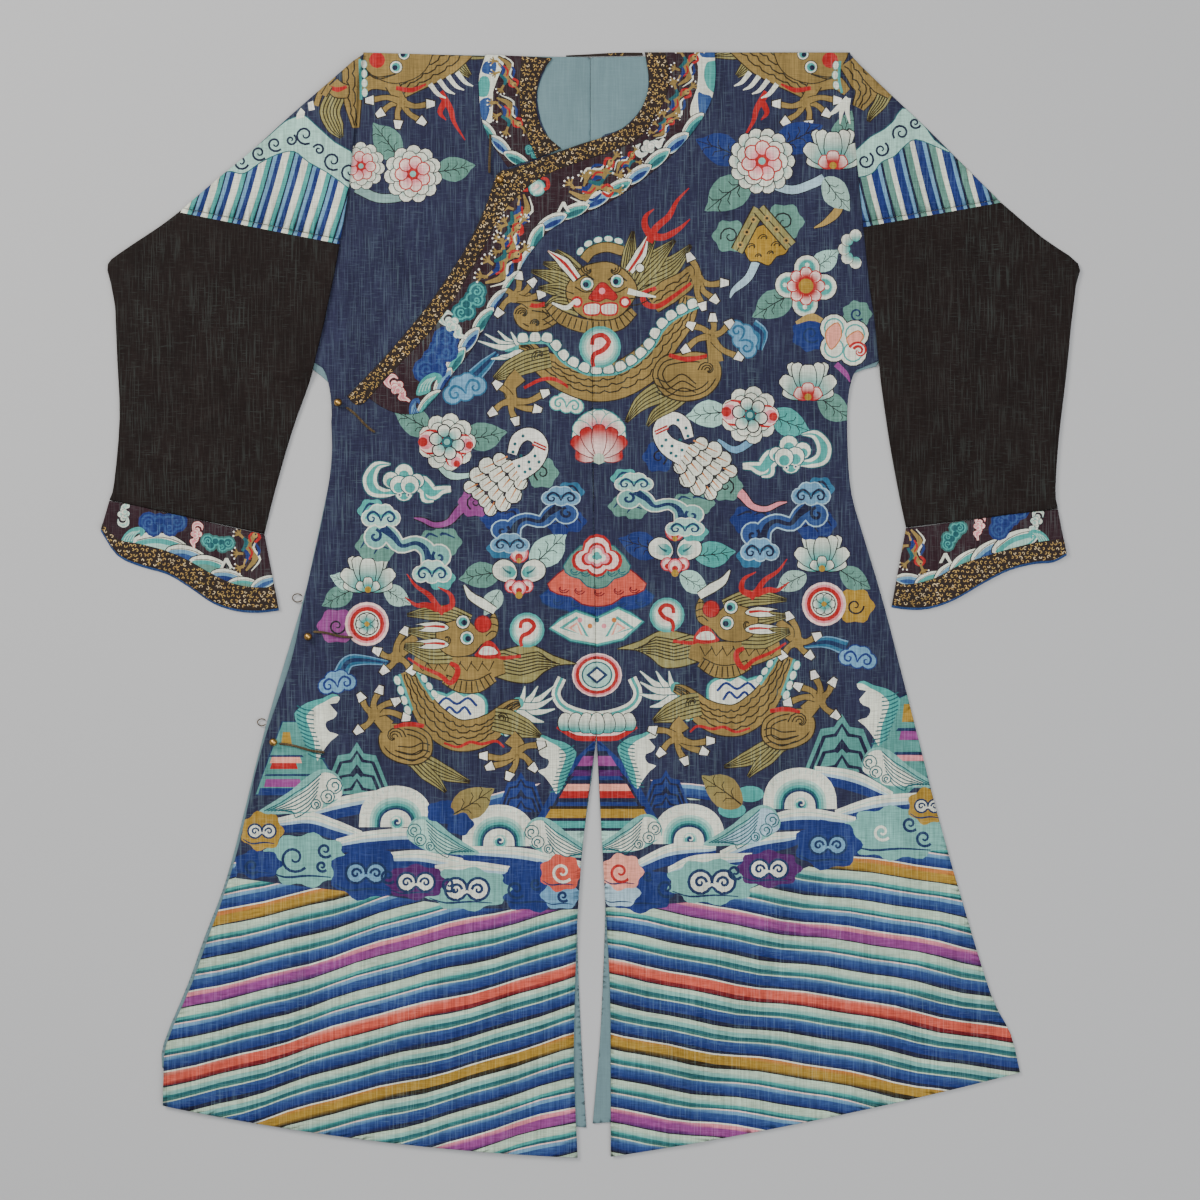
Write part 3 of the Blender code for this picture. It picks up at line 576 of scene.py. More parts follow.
backLeftRows = table(
    panelColumns,
    (1.2, 696, 331, 701, 0), (1.2, 640, 347, 641, 0), (1.2, 540, 360, 451, 0), (2.2, 430, 374, 319, 0),
    (3.2, 380, 336, 294, 0), (4.2, 325, 328, 258, 0), (4.2, 240, 328, 195, 0), (5.2, 160, 333, 140, 0),
    (6.2, 80, 349, 84, 0), (7.2, 0, 374, 0, 0), (9.2, -163, 419, -175, 0), (16, -262, 441, -262, 0),
    (20, -375, 474, -378, 0), (17, -476, 508, -493, 2), (13, -556, 532, -543, 4), (4, -659, 545, -590, 7),
)

backRightRows = table(
    panelColumns,
    (0.8, 696, -287, 701, 0), (0.8, 640, -309, 641, 0), (0.8, 540, -331, 451, 0), (1.8, 430, -356, 318, 0),
    (2.8, 380, -332, 283, 0), (3.8, 325, -328, 255, 0), (3.8, 200, -327, 200, 0), (4.8, 160, -330, 162, 0),
    (5.8, 62, -351, 62, 0), (6.8, 0, -366, -1, 0), (8.8, -160, -412, -156, 0), (-8, -299, -448, -300, 0),
    (-15, -375, -467, -365, 0), (-15, -438, -488, -419, 2), (-12, -520, -510, -481, 4),
    (-8, -600, -541, -557, 6), (-4, -664, -543, -588, 8),
)

sleeveColumns = "inX inY outX outY"

upperRightRows = table(
    sleeveColumns,
    (-286, 700, -300, 691), (-293, 667, -336, 660), (-295, 629, -380, 622), (-300, 584, -426, 580),
    (-305, 533, -472, 542), (-316, 464.3, -516, 504.3),
)

lowerRightRows = table(
    sleeveColumns,
    (-316, 463.7, -516, 503.7), (-323, 425, -546, 481), (-330, 391, -591, 451), (-336, 362, -612, 433),
    (-341, 341, -608, 408), (-347, 317, -603, 380), (-350, 303, -602, 360), (-357, 279, -600, 311),
    (-378, 220, -597, 237), (-399, 147, -604, 155), (-413, 90.3, -610, 133.3),
)

upperLeftRows = table(
    sleeveColumns,
    (331, 699, 343, 686), (335, 654, 382, 649), (336, 601, 427, 607), (341, 549, 470, 564),
    (347, 486.3, 519, 515.3),
)

lowerLeftRows = table(
    sleeveColumns,
    (347, 485.7, 519, 514.7), (352, 438, 575, 467), (356, 400, 620.5, 434), (361, 368, 618, 406),
    (365, 330, 612, 356), (368, 302, 609, 325), (371, 276, 605, 286), (381, 207, 596, 209),
    (393, 141, 592, 146), (402, 98.3, 595, 122.3),
)

cuffColumns = "inX inY outX outY trim"

cuffRightRows = table(
    cuffColumns,
    (-413, 89.7, -395, -4, 0.71), (-437, 94.7, -420, -7, 0.71), (-469, 101.7, -449, -5, 0.69),
    (-498, 108.7, -479, 5, 0.63), (-520, 113.7, -507, 24, 0.62), (-545, 118.7, -537, 42, 0.64),
    (-573, 125.7, -571, 52, 0.65), (-596, 129.7, -600, 66, 0.72), (-610, 132.7, -620.5, 97, 0.8),
)

cuffLeftRows = table(
    cuffColumns,
    (402, 97.7, 384, 0, 0.72), (422, 99.7, 404, -3, 0.71), (451, 103.7, 432, -2, 0.66),
    (481, 107.7, 464, 9, 0.57), (509, 111.7, 502, 31, 0.61), (537, 115.7, 534, 47, 0.64),
    (566, 118.7, 566, 55, 0.62), (585, 120.7, 589, 57, 0.6), (595, 121.7, 606, 66, 0.69),
)

collarColumns = "edgeX edgeY boundX boundY outerX outerY bow"

collarLongRows = table(
    collarColumns,
    (70, 702, 96, 702, 159, 702, 0), (75, 672, 102, 672, 160, 672, 0), (74, 652, 98, 648, 156, 645, 0),
    (65, 629, 83, 620, 142, 616, 0), (53, 614, 68, 598, 117, 584, 0), (40, 604, 49, 585, 85, 554, 0),
    (17, 594, 22, 574, 45, 524, 0), (-6, 587, -6, 565, 10, 504, 0), (-29, 579, -34, 555, -25, 490, 0),
    (-52, 571, -57, 545, -43, 481, 0), (-76, 562, -78, 531, -57, 470, 0), (-98, 554, -93, 517, -69, 455, 0),
    (-117, 547, -105, 505, -79, 442, 0), (-132, 505, -120, 481, -92, 420, 0),
    (-157, 453, -138, 446, -116, 383, 0), (-182, 414, -163, 403, -135, 349, 0),
    (-203, 383, -182, 373, -153, 319, 0), (-232, 347, -208, 340, -173, 295, 0),
    (-266, 308, -239, 308, -191, 269, 4), (-308, 265, -280, 263, -212, 245, 10),
)

collarShortRows = table(
    collarColumns,
    (-47, 695, -86, 697, -132, 699, 0), (-62, 673, -88, 672, -140, 672, 0),
    (-68, 643, -89, 648, -140, 648, 0), (-65, 618, -86, 618, -137, 618, 0),
    (-55, 597, -77, 591, -126, 589, 0), (-36, 580, -67, 567, -104, 556, 0),
)

collarBackRows = table(
    "lowX lowY topX topY",
    (-30, 696.8, -30, 698.5), (0, 697, 0, 700), (35, 697.5, 35, 702), (68, 698, 67, 702),
)


def sidePoints(rows, end):
    return np.array([(row[end + "X"], row[end + "Y"]) for row in rows], float)


def across(rows, row, first, last, count=14):
    a = np.array((rows[row][first + "X"], rows[row][first + "Y"]), float)
    b = np.array((rows[row][last + "X"], rows[row][last + "Y"]), float)
    share = np.linspace(0, 1, count)[:, None]
    line = a + (b - a) * share
    line[:, 1] -= rows[row].get("bow", 0) * 4 * share[:, 0] * (1 - share[:, 0])
    return line


def outlineOf(rows, first="in", last="out", per=3):
    return np.concatenate([curve(sidePoints(rows, first), per)[:-1], across(rows, -1, first, last)[:-1],
        curve(sidePoints(rows, last), per)[::-1][:-1], across(rows, 0, last, first, 6)[:-1]])


# Heights over the table, in mm: large folds as in the frame, then creases that only the cloth shows

folds = table(
    "panel x0 y0 x1 y1 half height",
    ("frontLeft", 300, 560, 250, 330, 30, 1.6), ("frontLeft", 210, 180, 90, -60, 32, 1.8),
    ("frontLeft", 330, 60, 300, -140, 30, 2.0), ("frontLeft", 240, -370, 215, -480, 26, 2.6),
    ("frontLeft", 290, -390, 262, -560, 26, 2.4), ("frontLeft", 345, -330, 380, -560, 36, 2.8),
    ("frontLeft", 470, -450, 500, -580, 30, 2.6), ("frontLeft", 150, -470, 125, -690, 38, 2.6),
    ("frontLeft", 70, -380, 62, -640, 26, 1.8), ("frontOverlap", -200, 200, -240, 20, 34, 1.6),
    ("frontOverlap", -110, 130, -120, -60, 30, 1.6), ("frontOverlap", -330, 40, -370, -150, 28, 1.8),
    ("frontOverlap", -300, -330, -330, -600, 38, 2.6), ("frontOverlap", -215, -400, -235, -560, 34, 2.2),
    ("frontOverlap", -420, -330, -470, -560, 34, 2.6), ("frontOverlap", -110, -430, -105, -660, 36, 2.2),
    ("frontUnder", -262, 640, -270, 420, 24, 1.8), ("frontUnder", -205, 600, -235, 430, 24, 1.8),
    ("sleeveLowerRight", -450, 440, -560, 300, 26, 1.8),
    ("sleeveLowerRight", -400, 260, -590, 290, 20, 1.8),
    ("sleeveLowerRight", -430, 160, -590, 190, 20, 1.4), ("sleeveLowerLeft", 430, 420, 560, 360, 26, 1.8),
    ("sleeveLowerLeft", 400, 250, 590, 300, 20, 1.8), ("sleeveLowerLeft", 470, 180, 560, 130, 18, 2.2),
)

# Creases, by photo pixels
creases = table(
    "panel px0 py0 px1 py1 half height",
    ("frontLeft", 779, 904, 762, 973, 7, 1.6), ("frontLeft", 762, 973, 752, 1010, 8, -1.2),
    ("frontLeft", 813, 921, 800, 966, 6, 1.3), ("frontLeft", 846, 905, 838, 960, 6, 0.9),
    ("frontLeft", 960, 970, 972, 1045, 6, 1.2), ("frontLeft", 905, 985, 915, 1050, 7, 1.0),
    ("frontLeft", 700, 1000, 694, 1120, 8, 1.2), ("frontLeft", 720, 1020, 716, 1150, 6, -0.9),
    ("frontLeft", 733, 468, 707, 543, 5, 1.3), ("frontLeft", 707, 543, 704, 580, 5, 1.1),
    ("frontLeft", 700, 536, 644, 598, 4.5, 1.2), ("frontLeft", 660, 200, 640, 330, 9, 0.9),
    ("frontLeft", 845, 250, 822, 380, 9, 1.1), ("frontLeft", 600, 180, 612, 420, 4, 0.8),
    ("frontLeft", 740, 610, 752, 760, 8, 0.7), ("frontLeft", 870, 640, 905, 760, 9, 0.9),
    ("frontUnder", 394, 264, 401, 336, 4.5, 1.2), ("frontUnder", 409, 228, 405, 278, 7, -1.4),
    ("frontUnder", 430, 150, 412, 250, 9, 1.2), ("frontUnder", 352, 250, 330, 340, 9, 0.8),
    ("frontOverlap", 396, 500, 372, 640, 8, 0.9), ("frontOverlap", 520, 470, 500, 620, 6, 0.8),
    ("frontOverlap", 345, 640, 322, 740, 7, 1.0), ("frontOverlap", 300, 930, 286, 1080, 10, 1.2),
    ("frontOverlap", 360, 925, 352, 1060, 9, 1.1), ("frontOverlap", 420, 930, 418, 1010, 10, -1.0),
    ("frontOverlap", 240, 930, 214, 1070, 9, 1.1), ("frontOverlap", 500, 960, 505, 1130, 9, 0.9),
    ("frontOverlap", 585, 420, 588, 560, 4, 0.7), ("frontOverlap", 560, 690, 556, 820, 7, 0.8),
    ("sleeveLowerRight", 117, 357, 300, 378, 4, 0.9), ("sleeveLowerRight", 117, 449, 270, 483, 3.5, 0.9),
    ("sleeveLowerRight", 236, 399, 183, 438, 6, 1.1), ("sleeveLowerRight", 150, 300, 250, 330, 6, 0.8),
    ("sleeveLowerRight", 130, 480, 180, 505, 5, 1.0), ("sleeveLowerRight", 200, 500, 262, 520, 4, -0.9),
    ("sleeveLowerLeft", 960, 480, 1005, 515, 5, 2.0), ("sleeveLowerLeft", 950, 492, 992, 520, 5, -1.6),
    ("sleeveLowerLeft", 885, 415, 1050, 402, 3.5, 0.9), ("sleeveLowerLeft", 905, 470, 1058, 456, 3.5, 0.9),
    ("sleeveLowerLeft", 920, 300, 1020, 345, 7, 1.0), ("sleeveLowerLeft", 1000, 280, 1060, 300, 6, 0.8),
    ("sleeveUpperRight", 330, 75, 300, 160, 8, 0.9), ("sleeveUpperLeft", 872, 80, 900, 150, 8, 0.9),
    ("back", 536, 85, 648, 84, 5, 0.7), ("back", 536, 110, 645, 112, 6, 0.8),
    ("back", 592, 58, 592, 145, 3, 0.6),
)


def ridge(x, y, x0, y0, x1, y1, half, height):
    run = np.array([x1 - x0, y1 - y0], float)
    length = np.linalg.norm(run)
    run /= length
    along = (x - x0) * run[0] + (y - y0) * run[1]
    aside = (y - y0) * run[0] - (x - x0) * run[1]
    fade = ramp(along / (0.35 * length) + 0.3) * ramp((length - along) / (0.35 * length) + 0.3)
    return height * fade * np.exp(-((aside / half) ** 2))


def foldHeight(panel, x, y):
    total = np.zeros_like(x)
    for fold in folds:
        if fold["panel"] == panel:
            total += ridge(x, y, *[fold[key] for key in ("x0", "y0", "x1", "y1", "half", "height")])
    return total


def creaseHeight(panel, x, y):
    total = np.zeros_like(x)
    for crease in creases:
        if crease["panel"] == panel:
            ends = toPlan([(crease["px0"], crease["py0"]), (crease["px1"], crease["py1"])])
            total += ridge(x, y, *ends[0], *ends[1], crease["half"], crease["height"])
    return total


def creasePoints(panel):
    found = []
    for crease in creases:
        if crease["panel"] == panel:
            a, b = toPlan([(crease["px0"], crease["py0"]), (crease["px1"], crease["py1"])])
            run = (b - a) / np.linalg.norm(b - a)
            share = np.arange(-6, np.linalg.norm(b - a) + 6, 4.0)
            for aside in (-1.6, -0.9, -0.3, 0.3, 0.9, 1.6):
                off = np.array([-run[1], run[0]]) * aside * crease["half"]
                found.append(a + run * share[:, None] + off)
    return np.concatenate(found) if found else None


def ripple(x, y, seed):
    total = np.zeros_like(x)
    for _, (turn, wave, shift) in zip(range(5), np.random.default_rng(seed).uniform(0, 1, (5, 3))):
        length = 55 + 110 * wave
        across = x * math.cos(3 * turn) + y * math.sin(3 * turn)
        total += 0.11 * np.sin(across * 6.28 / length + 6.28 * shift)
    return total


def frontStep(x):
    return walls["overStep"] * ramp((walls["stepLowX"] - x) / (walls["stepLowX"] - walls["stepHighX"]))


def frontLevel(panel, x, y):
    step = 0 if panel == "frontUnder" else frontStep(x)
    return walls["frontLevel"] + step + foldHeight(panel, x, y)


def frontTop(panel, x, y):
    return frontLevel(panel, x, y) + walls["body"] + creaseHeight(panel, x, y) + ripple(x, y, len(panel))


# Motifs, each in its own small plan

def petal(pen, turn, near, far, width, heart, tip, rim="dark", line=0.035, ease=0.85):
    part = pen.at(0, 0, 1, turn)
    middle = (near + far) / 2
    shape = [(near, -0.24 * width), (middle, -0.5 * width), (far * 0.95, -0.36 * width), (far, 0),
        (far * 0.95, 0.36 * width), (middle, 0.5 * width), (near, 0.24 * width)]
    ring = curve(shape, 2, True)
    part.lay(inset(ring, -line), rim)
    part.lay(ring, heart, toDye=tip, start=(near + (far - near) * 0.3, 0),
        end=(near + (far - near) * ease, 0))


def lobe(pen, turn, reach, r, heart="teal", tip="cream", rim="dark", line=0.03):
    part = pen.at(0, 0, 1, turn)
    disc(part, reach - r, 0, r + line, rim, 10)
    disc(part, reach - r, 0, r, tip, 10)
    disc(part, reach - 1.25 * r, 0, 0.8 * r, heart, 10, toDye=tip, start=(reach - 1.7 * r, 0),
        end=(reach - 0.5 * r, 0))


def flower(pen, rings, inner=6, dot="seaTeal", pinks=()):
    for count, reach, r in rings:
        for k in range(count):
            lobe(pen, 360 * k / count + 360 * reach, reach, r)
    for turn, reach, r in pinks:
        for size, dye in ((1.14, "red"), (0.94, "palePink"), (0.66, "pink"), (0.42, "red")):
            part = pen.at(0, 0, 1, turn)
            disc(part, reach - r * size, 0, r * size, dye, 10)
    for k in range(inner):
        lobe(pen, 360 * k / inner + 15, 0.6, 0.2, "pink" if not pinks else "seaTeal",
            "palePink" if not pinks else "cream", "red" if not pinks else "dark", 0.045)
    disc(pen, 0, 0, 0.19, "red" if not pinks else "tealDark")
    disc(pen, 0, 0, 0.11, dot)


def orchid(pen):
    for side in (False, True):
        wing = pen.at(0, 0, 1, 0, side)
        rimmed(wing, [(0.04, 0.05), (0.2, -0.35), (0.62, -0.5), (0.98, -0.25), (0.96, 0.15), (0.6, 0.38),
            (0.22, 0.36)], "dark", "cream", 0.04)
        blob(wing, [(0.1, 0.0), (0.3, -0.22), (0.62, -0.2), (0.76, 0.02), (0.56, 0.18), (0.24, 0.2)],
            "teal", 2, toDye="cream", start=(0.3, 0), end=(0.8, 0))
        stroke(wing, [(0.3, 0.05), (0.5, -0.05), (0.62, -0.2)], [0.1, 0.02], "tealDark", 2)
    for x, y, r in ((0, -0.66, 0.34), (-0.28, 0.52, 0.24), (0.28, 0.52, 0.24), (0, 0.6, 0.27)):
        discs(pen, x, y - (0.1 * r if y < 0 else 0), r, ((1.1, "red"), (0.96, "pink"), (0.72, "palePink")))
        disc(pen, x, y + 0.35 * r, r * 0.45, "red", 8)
    disc(pen, 0, -0.42, 0.1, "yellow", 8)
    disc(pen, 0, 0.86, 0.14, "yellow", 8)


def quatrefoil(pen):
    for layer in ((0.44, "dark"), (0.41, "cream"), (0.3, "paleTeal"), (0.26, "teal")):
        for k in range(4):
            part = pen.at(0, 0, 1, 90 * k + 3)
            disc(part, 0.58, 0, layer[0], layer[1], 14)
    for k in range(8):
        lobe(pen, 45 * k, 0.6, 0.17, "red", "palePink", "red", 0.04)
    disc(pen, 0, 0, 0.31, "red")
    disc(pen, 0, 0, 0.24, "yellow", 14)
    for k in range(4):
        disc(pen.at(0, 0, 1, 90 * k + 3), 0.68, 0, 0.08, "cream", 6)


def lotus(pen, bowl="pink"):
    if bowl == "round":
        discs(pen, 0, 0, 1, ((0.96, "tealDark"), (0.92, "cream")), 18)
        for turn in (90, 58, 122, 30, 150):
            petal(pen.at(0, -0.1), turn, 0.3, 0.98, 0.5, "pink", "cream", "teal", 0.03)
        for turn in (8, 172, 34, 146, 62, 118, 90):
            petal(pen.at(0, -0.72), turn, 0.1, 1.1 if 20 < turn < 160 else 0.8, 0.5, "palePink", "red",
                "redDark", 0.03)
        disc(pen, 0, -0.78, 0.2, "celadon", 8)
        return
    low = pen.at(0, -0.5)
    for turn, reach, width in ((14, 0.95, 0.42), (166, 0.95, 0.42), (62, 1.42, 0.42), (118, 1.42, 0.42),
            (36, 1.22, 0.56), (144, 1.22, 0.56), (70, 1.34, 0.5), (110, 1.34, 0.5), (90, 1.2, 0.62)):
        petal(low, turn, 0.1, reach, width, "teal", "cream", ease=0.95)
    for turn in (28, 152, 90):
        if bowl == "pink":
            petal(low, turn, 0.04, 0.52, 0.42, "red", "palePink", "red", 0.04)
        else:
            petal(low, turn, 0.04, 0.48, 0.34, "teal", "cream")
    disc(low, 0, 0.02, 0.13, "yellow")


def leaf(pen, dye="leaf", toDye=None, vein="dark"):
    ring = curve([(0, 0), (0.14, 0.2), (0.42, 0.34), (0.7, 0.27), (0.86, 0.12), (1, 0.04), (0.88, -0.06),
        (0.7, -0.2), (0.4, -0.3), (0.12, -0.2)], 2, True)
    pen.lay(ring, dye, toDye=toDye or dye, start=(0, 0), end=(1, 0))
    stroke(pen, [(0.02, 0), (0.45, 0.03), (0.96, 0.02)], [0.03, 0.012], vein, 2)
    for x in (0.2, 0.42, 0.64):
        stroke(pen, [(x, 0.01), (x + 0.13, 0.1), (x + 0.14, 0.19)], 0.018, vein, 1)
        stroke(pen, [(x, 0.01), (x + 0.14, -0.07), (x + 0.15, -0.16)], 0.018, vein, 1)


def lobed(pen, dye, wide=1.2, lobes=7, depth=0.09, size=1.0, steps=28, turn=0.0):
    angle = np.linspace(0, 2 * math.pi, steps, endpoint=False)
    reach = size * (1 + depth * np.cos(lobes * angle + turn))
    pen.lay(np.stack([wide * reach * np.cos(angle), reach * np.sin(angle)], axis=1), dye)


def scroll(pen, ink="inkBlue", fill="cream"):
    for grow, dye in ((0.12, ink), (0.0, fill)):
        for side in (-1, 1):
            disc(pen, 0.46 * side, 0, 0.4 + grow, dye, 14)
        stroke(pen, [(-0.46, 0.34), (0, 0.1), (0.46, 0.34)], [0.2 + grow, 0.1 + grow, 0.2 + grow], dye, 2)
    for side in (-1, 1):
        spiral(pen, 0.46 * side, 0.02, 0.26, ink, 0.12, 1.15, 90 + 90 * side, side, 12)


def head(pen, body="sky", ink="royal", rim=None, tint=None):
    for grow, dye in ((0.07, rim or ink), (0.0, body)):
        for x, y, r in ((-0.62, 0.12, 0.42), (0.62, 0.12, 0.42), (-0.2, -0.2, 0.42), (0.25, -0.2, 0.42),
                (0, 0.2, 0.4)):
            disc(pen, x, y, r + grow, dye, 12)
    stroke(pen, [(-0.86, 0.16), (-0.5, -0.22), (0, 0.02), (0.5, -0.22), (0.86, 0.16)],
        [0.1, 0.24, 0.18, 0.24, 0.1], tint or body, 3)
    for side in (-1, 1):
        stroke(pen, [(0, 0.3), (0.14 * side, -0.04), (0.42 * side, -0.24), (0.72 * side, -0.04),
            (0.68 * side, 0.26), (0.44 * side, 0.3), (0.38 * side, 0.1), (0.52 * side, 0.06)],
            [0.06, 0.11, 0.13, 0.13, 0.11, 0.1, 0.09, 0.05], ink, 3)


def twinCloud(pen, pale, body, back, ink, light, shade, tint):
    for x, y, r, dye in ((-36, -32, 12, shade), (-37, 3, 13, back), (37, -1, 14, back), (33, 35, 12, shade),
            (23, -3, 10, back), (-26, 9, 10, back)):
        lobed(pen.at(x, y), dye, 1.15, 6, 0.09, r, 30)
        stroke(pen, [(x - r * 0.8, y + 2), (x - r * 0.2, y - r * 0.6), (x + r * 0.7, y - r * 0.3)],
            [1, 3, 1], ink, 3)
    stem = [(-32, -12), (-18, -8), (-8, 3), (8, 0), (20, 8), (23, 24)]
    for trim, dye in ((0, light), (3, body)):
        stroke(pen, stem, [22 - trim, 18 - trim, 15 - trim, 15 - trim, 18 - trim, 20 - trim], dye)
        disc(pen, -32, -6, 12.5 - trim / 2, dye, 14)
        disc(pen, 31, 13, 12.5 - trim / 2, dye, 14)
    stroke(pen, [(-26, -16), (-14, -6), (-6, 3), (8, 0), (18, 7), (22, 24)], [9, 6, 4, 4, 6, 8], ink)
    for x, y, turn, hand in ((-33, -7, 280, 1), (31, 14, 230, -1)):
        spiral(pen, x, y, 7, ink, 3.2, 1.0, turn, hand, 12)
    head(pen.at(-27, -27, 18), pale, ink, light, tint)
    head(pen.at(24, 29, 18), pale, ink, light, tint)


def bat(pen, body="teal", wing="cream", ink="tealDark"):
    for grow, dye in ((2.2, ink), (0, wing), (-7, body)):
        stroke(pen, [(-13, -20), (-27, -18), (-34, -6), (-31, 5), (-20, 9), (-8, 8)],
            [1 + max(grow, 0), 9 + grow, 14 + grow, 14 + grow, 9 + grow, 5], dye)
        stroke(pen, [(6, -2), (18, 0), (28, 9), (38, 6), (47, 5)],
            [10 + grow, 17 + grow, 15 + grow, 8 + grow, 6 + grow], dye)
        stroke(pen, [(20, 4), (22, 14), (30, 16)], [8 + grow, 10 + grow, 4 + max(grow, -3)], dye)
    for x, y, r in ((0, 8, 9), (0, -11, 9), (-13, -4, 8), (13, -3, 7), (-5, 1, 9), (6, 1, 9)):
        disc(pen, x, y, r + 1.1, ink, 12)
        disc(pen, x, y, r, wing, 12)
        disc(pen, x, y + r * 0.3, r * 0.6, body, 10)
    for side in (-1, 1):
        disc(pen, 4.5 * side, 11, 2.4, "cream", 8)
        disc(pen, 4.5 * side, 11, 1.1, "inkBlue", 6)


def pearl(pen, ink="red"):
    layers = ((1.0, "teal"), (0.88, "seaTeal"), (0.78, "paleTeal"), (0.66, "cream"), (0.44, "palePink"))
    discs(pen, 0, 0, 1, layers, 18)
    stroke(pen, [(-0.38, -0.1), (-0.3, -0.46), (0.12, -0.56), (0.42, -0.24), (0.14, 0.14), (-0.26, 0.34),
        (-0.36, 0.66), (-0.3, 0.94)], [0.2, 0.24, 0.24, 0.18], ink, 3)


def flame(pen, tongues, width=8.0, dye="red"):
    for tongue in tongues:
        stroke(pen, tongue, [width, width * 0.75, 1.0], dye)


def roundel(pen):
    layers = ((1.0, "palePink"), (0.88, "pink"), (0.78, "red"), (0.6, "cream"), (0.54, "dark"),
        (0.5, "cream"))
    discs(pen, 0, 0, 1, layers, 20)
    for k in range(6):
        petal(pen, 60 * k, 0.1, 0.48, 0.36, "teal", "cream")
    disc(pen, 0, 0, 0.12, "yellow")


# Dragon parts

def goldPart(pen, path, widths, per=4, line=1.1, dye="gold"):
    widths = list(widths) if isinstance(widths, (list, tuple)) else [widths, widths]
    edgedStroke(pen, path, widths, "goldDark", dye, 2 * line, per)


def stations(path, spacing):
    path = curve(path, 6)
    steps = np.linalg.norm(np.diff(path, axis=0), axis=1)
    along = np.concatenate([[0], np.cumsum(steps)])
    places = np.arange(spacing / 2, along[-1], spacing)
    spots = np.stack([np.interp(places, along, path[:, i]) for i in (0, 1)], axis=1)
    ahead = np.stack([np.interp(places + 1, along, path[:, i]) for i in (0, 1)], axis=1)
    behind = np.stack([np.interp(places - 1, along, path[:, i]) for i in (0, 1)], axis=1)
    run = ahead - behind
    run /= np.maximum(np.linalg.norm(run, axis=1), 1e-9)[:, None]
    return spots, run, places / along[-1]


def scaledBody(pen, path, widths, rows=5, spacing=4.0, line=1.4):
    goldPart(pen, path, widths)
    spots, run, share = stations(path, spacing)
    wide = np.interp(share, np.linspace(0, 1, len(widths)), widths)
    for j in range(1, rows):
        points = []
        for i, (spot, along, width) in enumerate(zip(spots, run, wide)):
            notch = (0, 0, 0.36, 0)[(i + 2 * j) % 4] / rows
            points.append(spot + np.array([-along[1], along[0]]) * (j / rows - 0.5 + notch) * width)
        if len(points) > 1:
            stroke(pen, points, line, "goldDark", 1)


def fins(pen, path, width=9, pitch=12.0, side=1):
    spots, run, _ = stations(path, pitch)
    under = sidesOf(curve(path, 4), [width + 2] * 2)[0 if side < 0 else 1]
    stroke(pen, under, 3.0, "teal", 1)
    for spot, along in zip(spots, run):
        out = np.array([-along[1], along[0]]) * side
        for grow, dye in ((0.9, "tealDark"), (0, "cream")):
            half, deep = pitch * 0.36 + grow, width * 0.46 + grow
            ring = [spot - along * half - out * deep, spot - along * half * 1.15,
                spot - along * half * 0.7 + out * deep, spot + along * half * 0.7 + out * deep,
                spot + along * half * 1.15, spot + along * half - out * deep]
            pen.lay(curve(ring, 2, True), dye)


def scallops(pen, path, side, offset, size, dye="cream", line="teal"):
    left, right = sidesOf(curve(path, 6), offset)
    edge = left if side > 0 else right
    stroke(pen, edge, 2.6, line, 1)
    spots, run, _ = stations(edge, size * 1.05)
    for spot, along in zip(spots, run):
        out = np.array([-along[1], along[0]]) * side
        centre = spot + out * size * 0.42
        turn = math.degrees(math.atan2(along[1], along[0]))
        part = pen.at(centre[0], centre[1], size, turn)
        disc(part, 0, 0, 0.52, line, 10, 0.72)
        disc(part, 0, 0, 0.46, dye, 10, 0.66)


# A leg, its palm and five toes, each with a white nail across its tip
def foot(pen, leg, palm, toes, width=9.0):
    goldPart(pen, leg + [palm], [width * 1.5, width], 3)
    for tip in toes:
        run = np.array(tip, float) - palm
        reach = np.linalg.norm(run)
        run /= reach
        side = np.array([-run[1], run[0]])
        bend = (np.array(palm) + tip) / 2 + side * reach * 0.12
        goldPart(pen, [palm, bend, tip], [width * 0.75, width * 0.5, width * 0.6], 3, 0.8)
        end = np.array(tip, float)
        for grow, dye in ((1.1, "goldDark"), (0, "white")):
            pen.lay([end - run * (2 + grow) - side * (4.6 + grow),
                end + run * (6.4 + grow) - side * (3.2 + grow), end + run * (6.8 + grow) + side * 1.4,
                end - run * (1 + grow) + side * (4.6 + grow)], dye)
    disc(pen, palm[0], palm[1], width * 0.62, "gold", 10)


def hair(pen, path, widths, strands=4, dye="olive", line="goldDark"):
    goldPart(pen, path, widths, 4, 0.9, dye)
    widths = np.array(widths, float)
    path = curve(path, 4)
    for k in range(strands):
        offset = (k + 1) / (strands + 1) - 0.5
        left, _ = sidesOf(path, list(widths * 2 * offset)) if offset else (path, path)
        stroke(pen, left, [1.3, 0.9], line, 1)


def eye(pen, x, y, r, look=(-0.2, 0.1)):
    discs(pen, x, y, r, ((1.25, "goldDark"), (1.1, "cream"), (0.8, "teal")))
    disc(pen, x + look[0] * r, y + look[1] * r, r * 0.5, "night", 8)


def ear(pen, path, width):
    edgedStroke(pen, path, [1, width, width * 0.8], "goldDark", "cream", 2)
    stroke(pen, path, [0.6, width * 0.3, width * 0.22], "red")


# A swelling of the body, with its rings of drawn muscle
def haunch(pen, ring, spots):
    ring = curve(ring, 3, True)
    for depth in (0, 5, 10):
        pen.lay(inset(ring, depth), "goldDark")
        pen.lay(inset(ring, depth + 1.3), "gold")
    for x, y, r in spots:
        disc(pen, x, y, r + 1.5, "gold", 14)
        for size in (1.0, 0.66, 0.34):
            spiral(pen, x, y, r * size, "goldDark", 1.3, 0.85, 180, 1, 10)


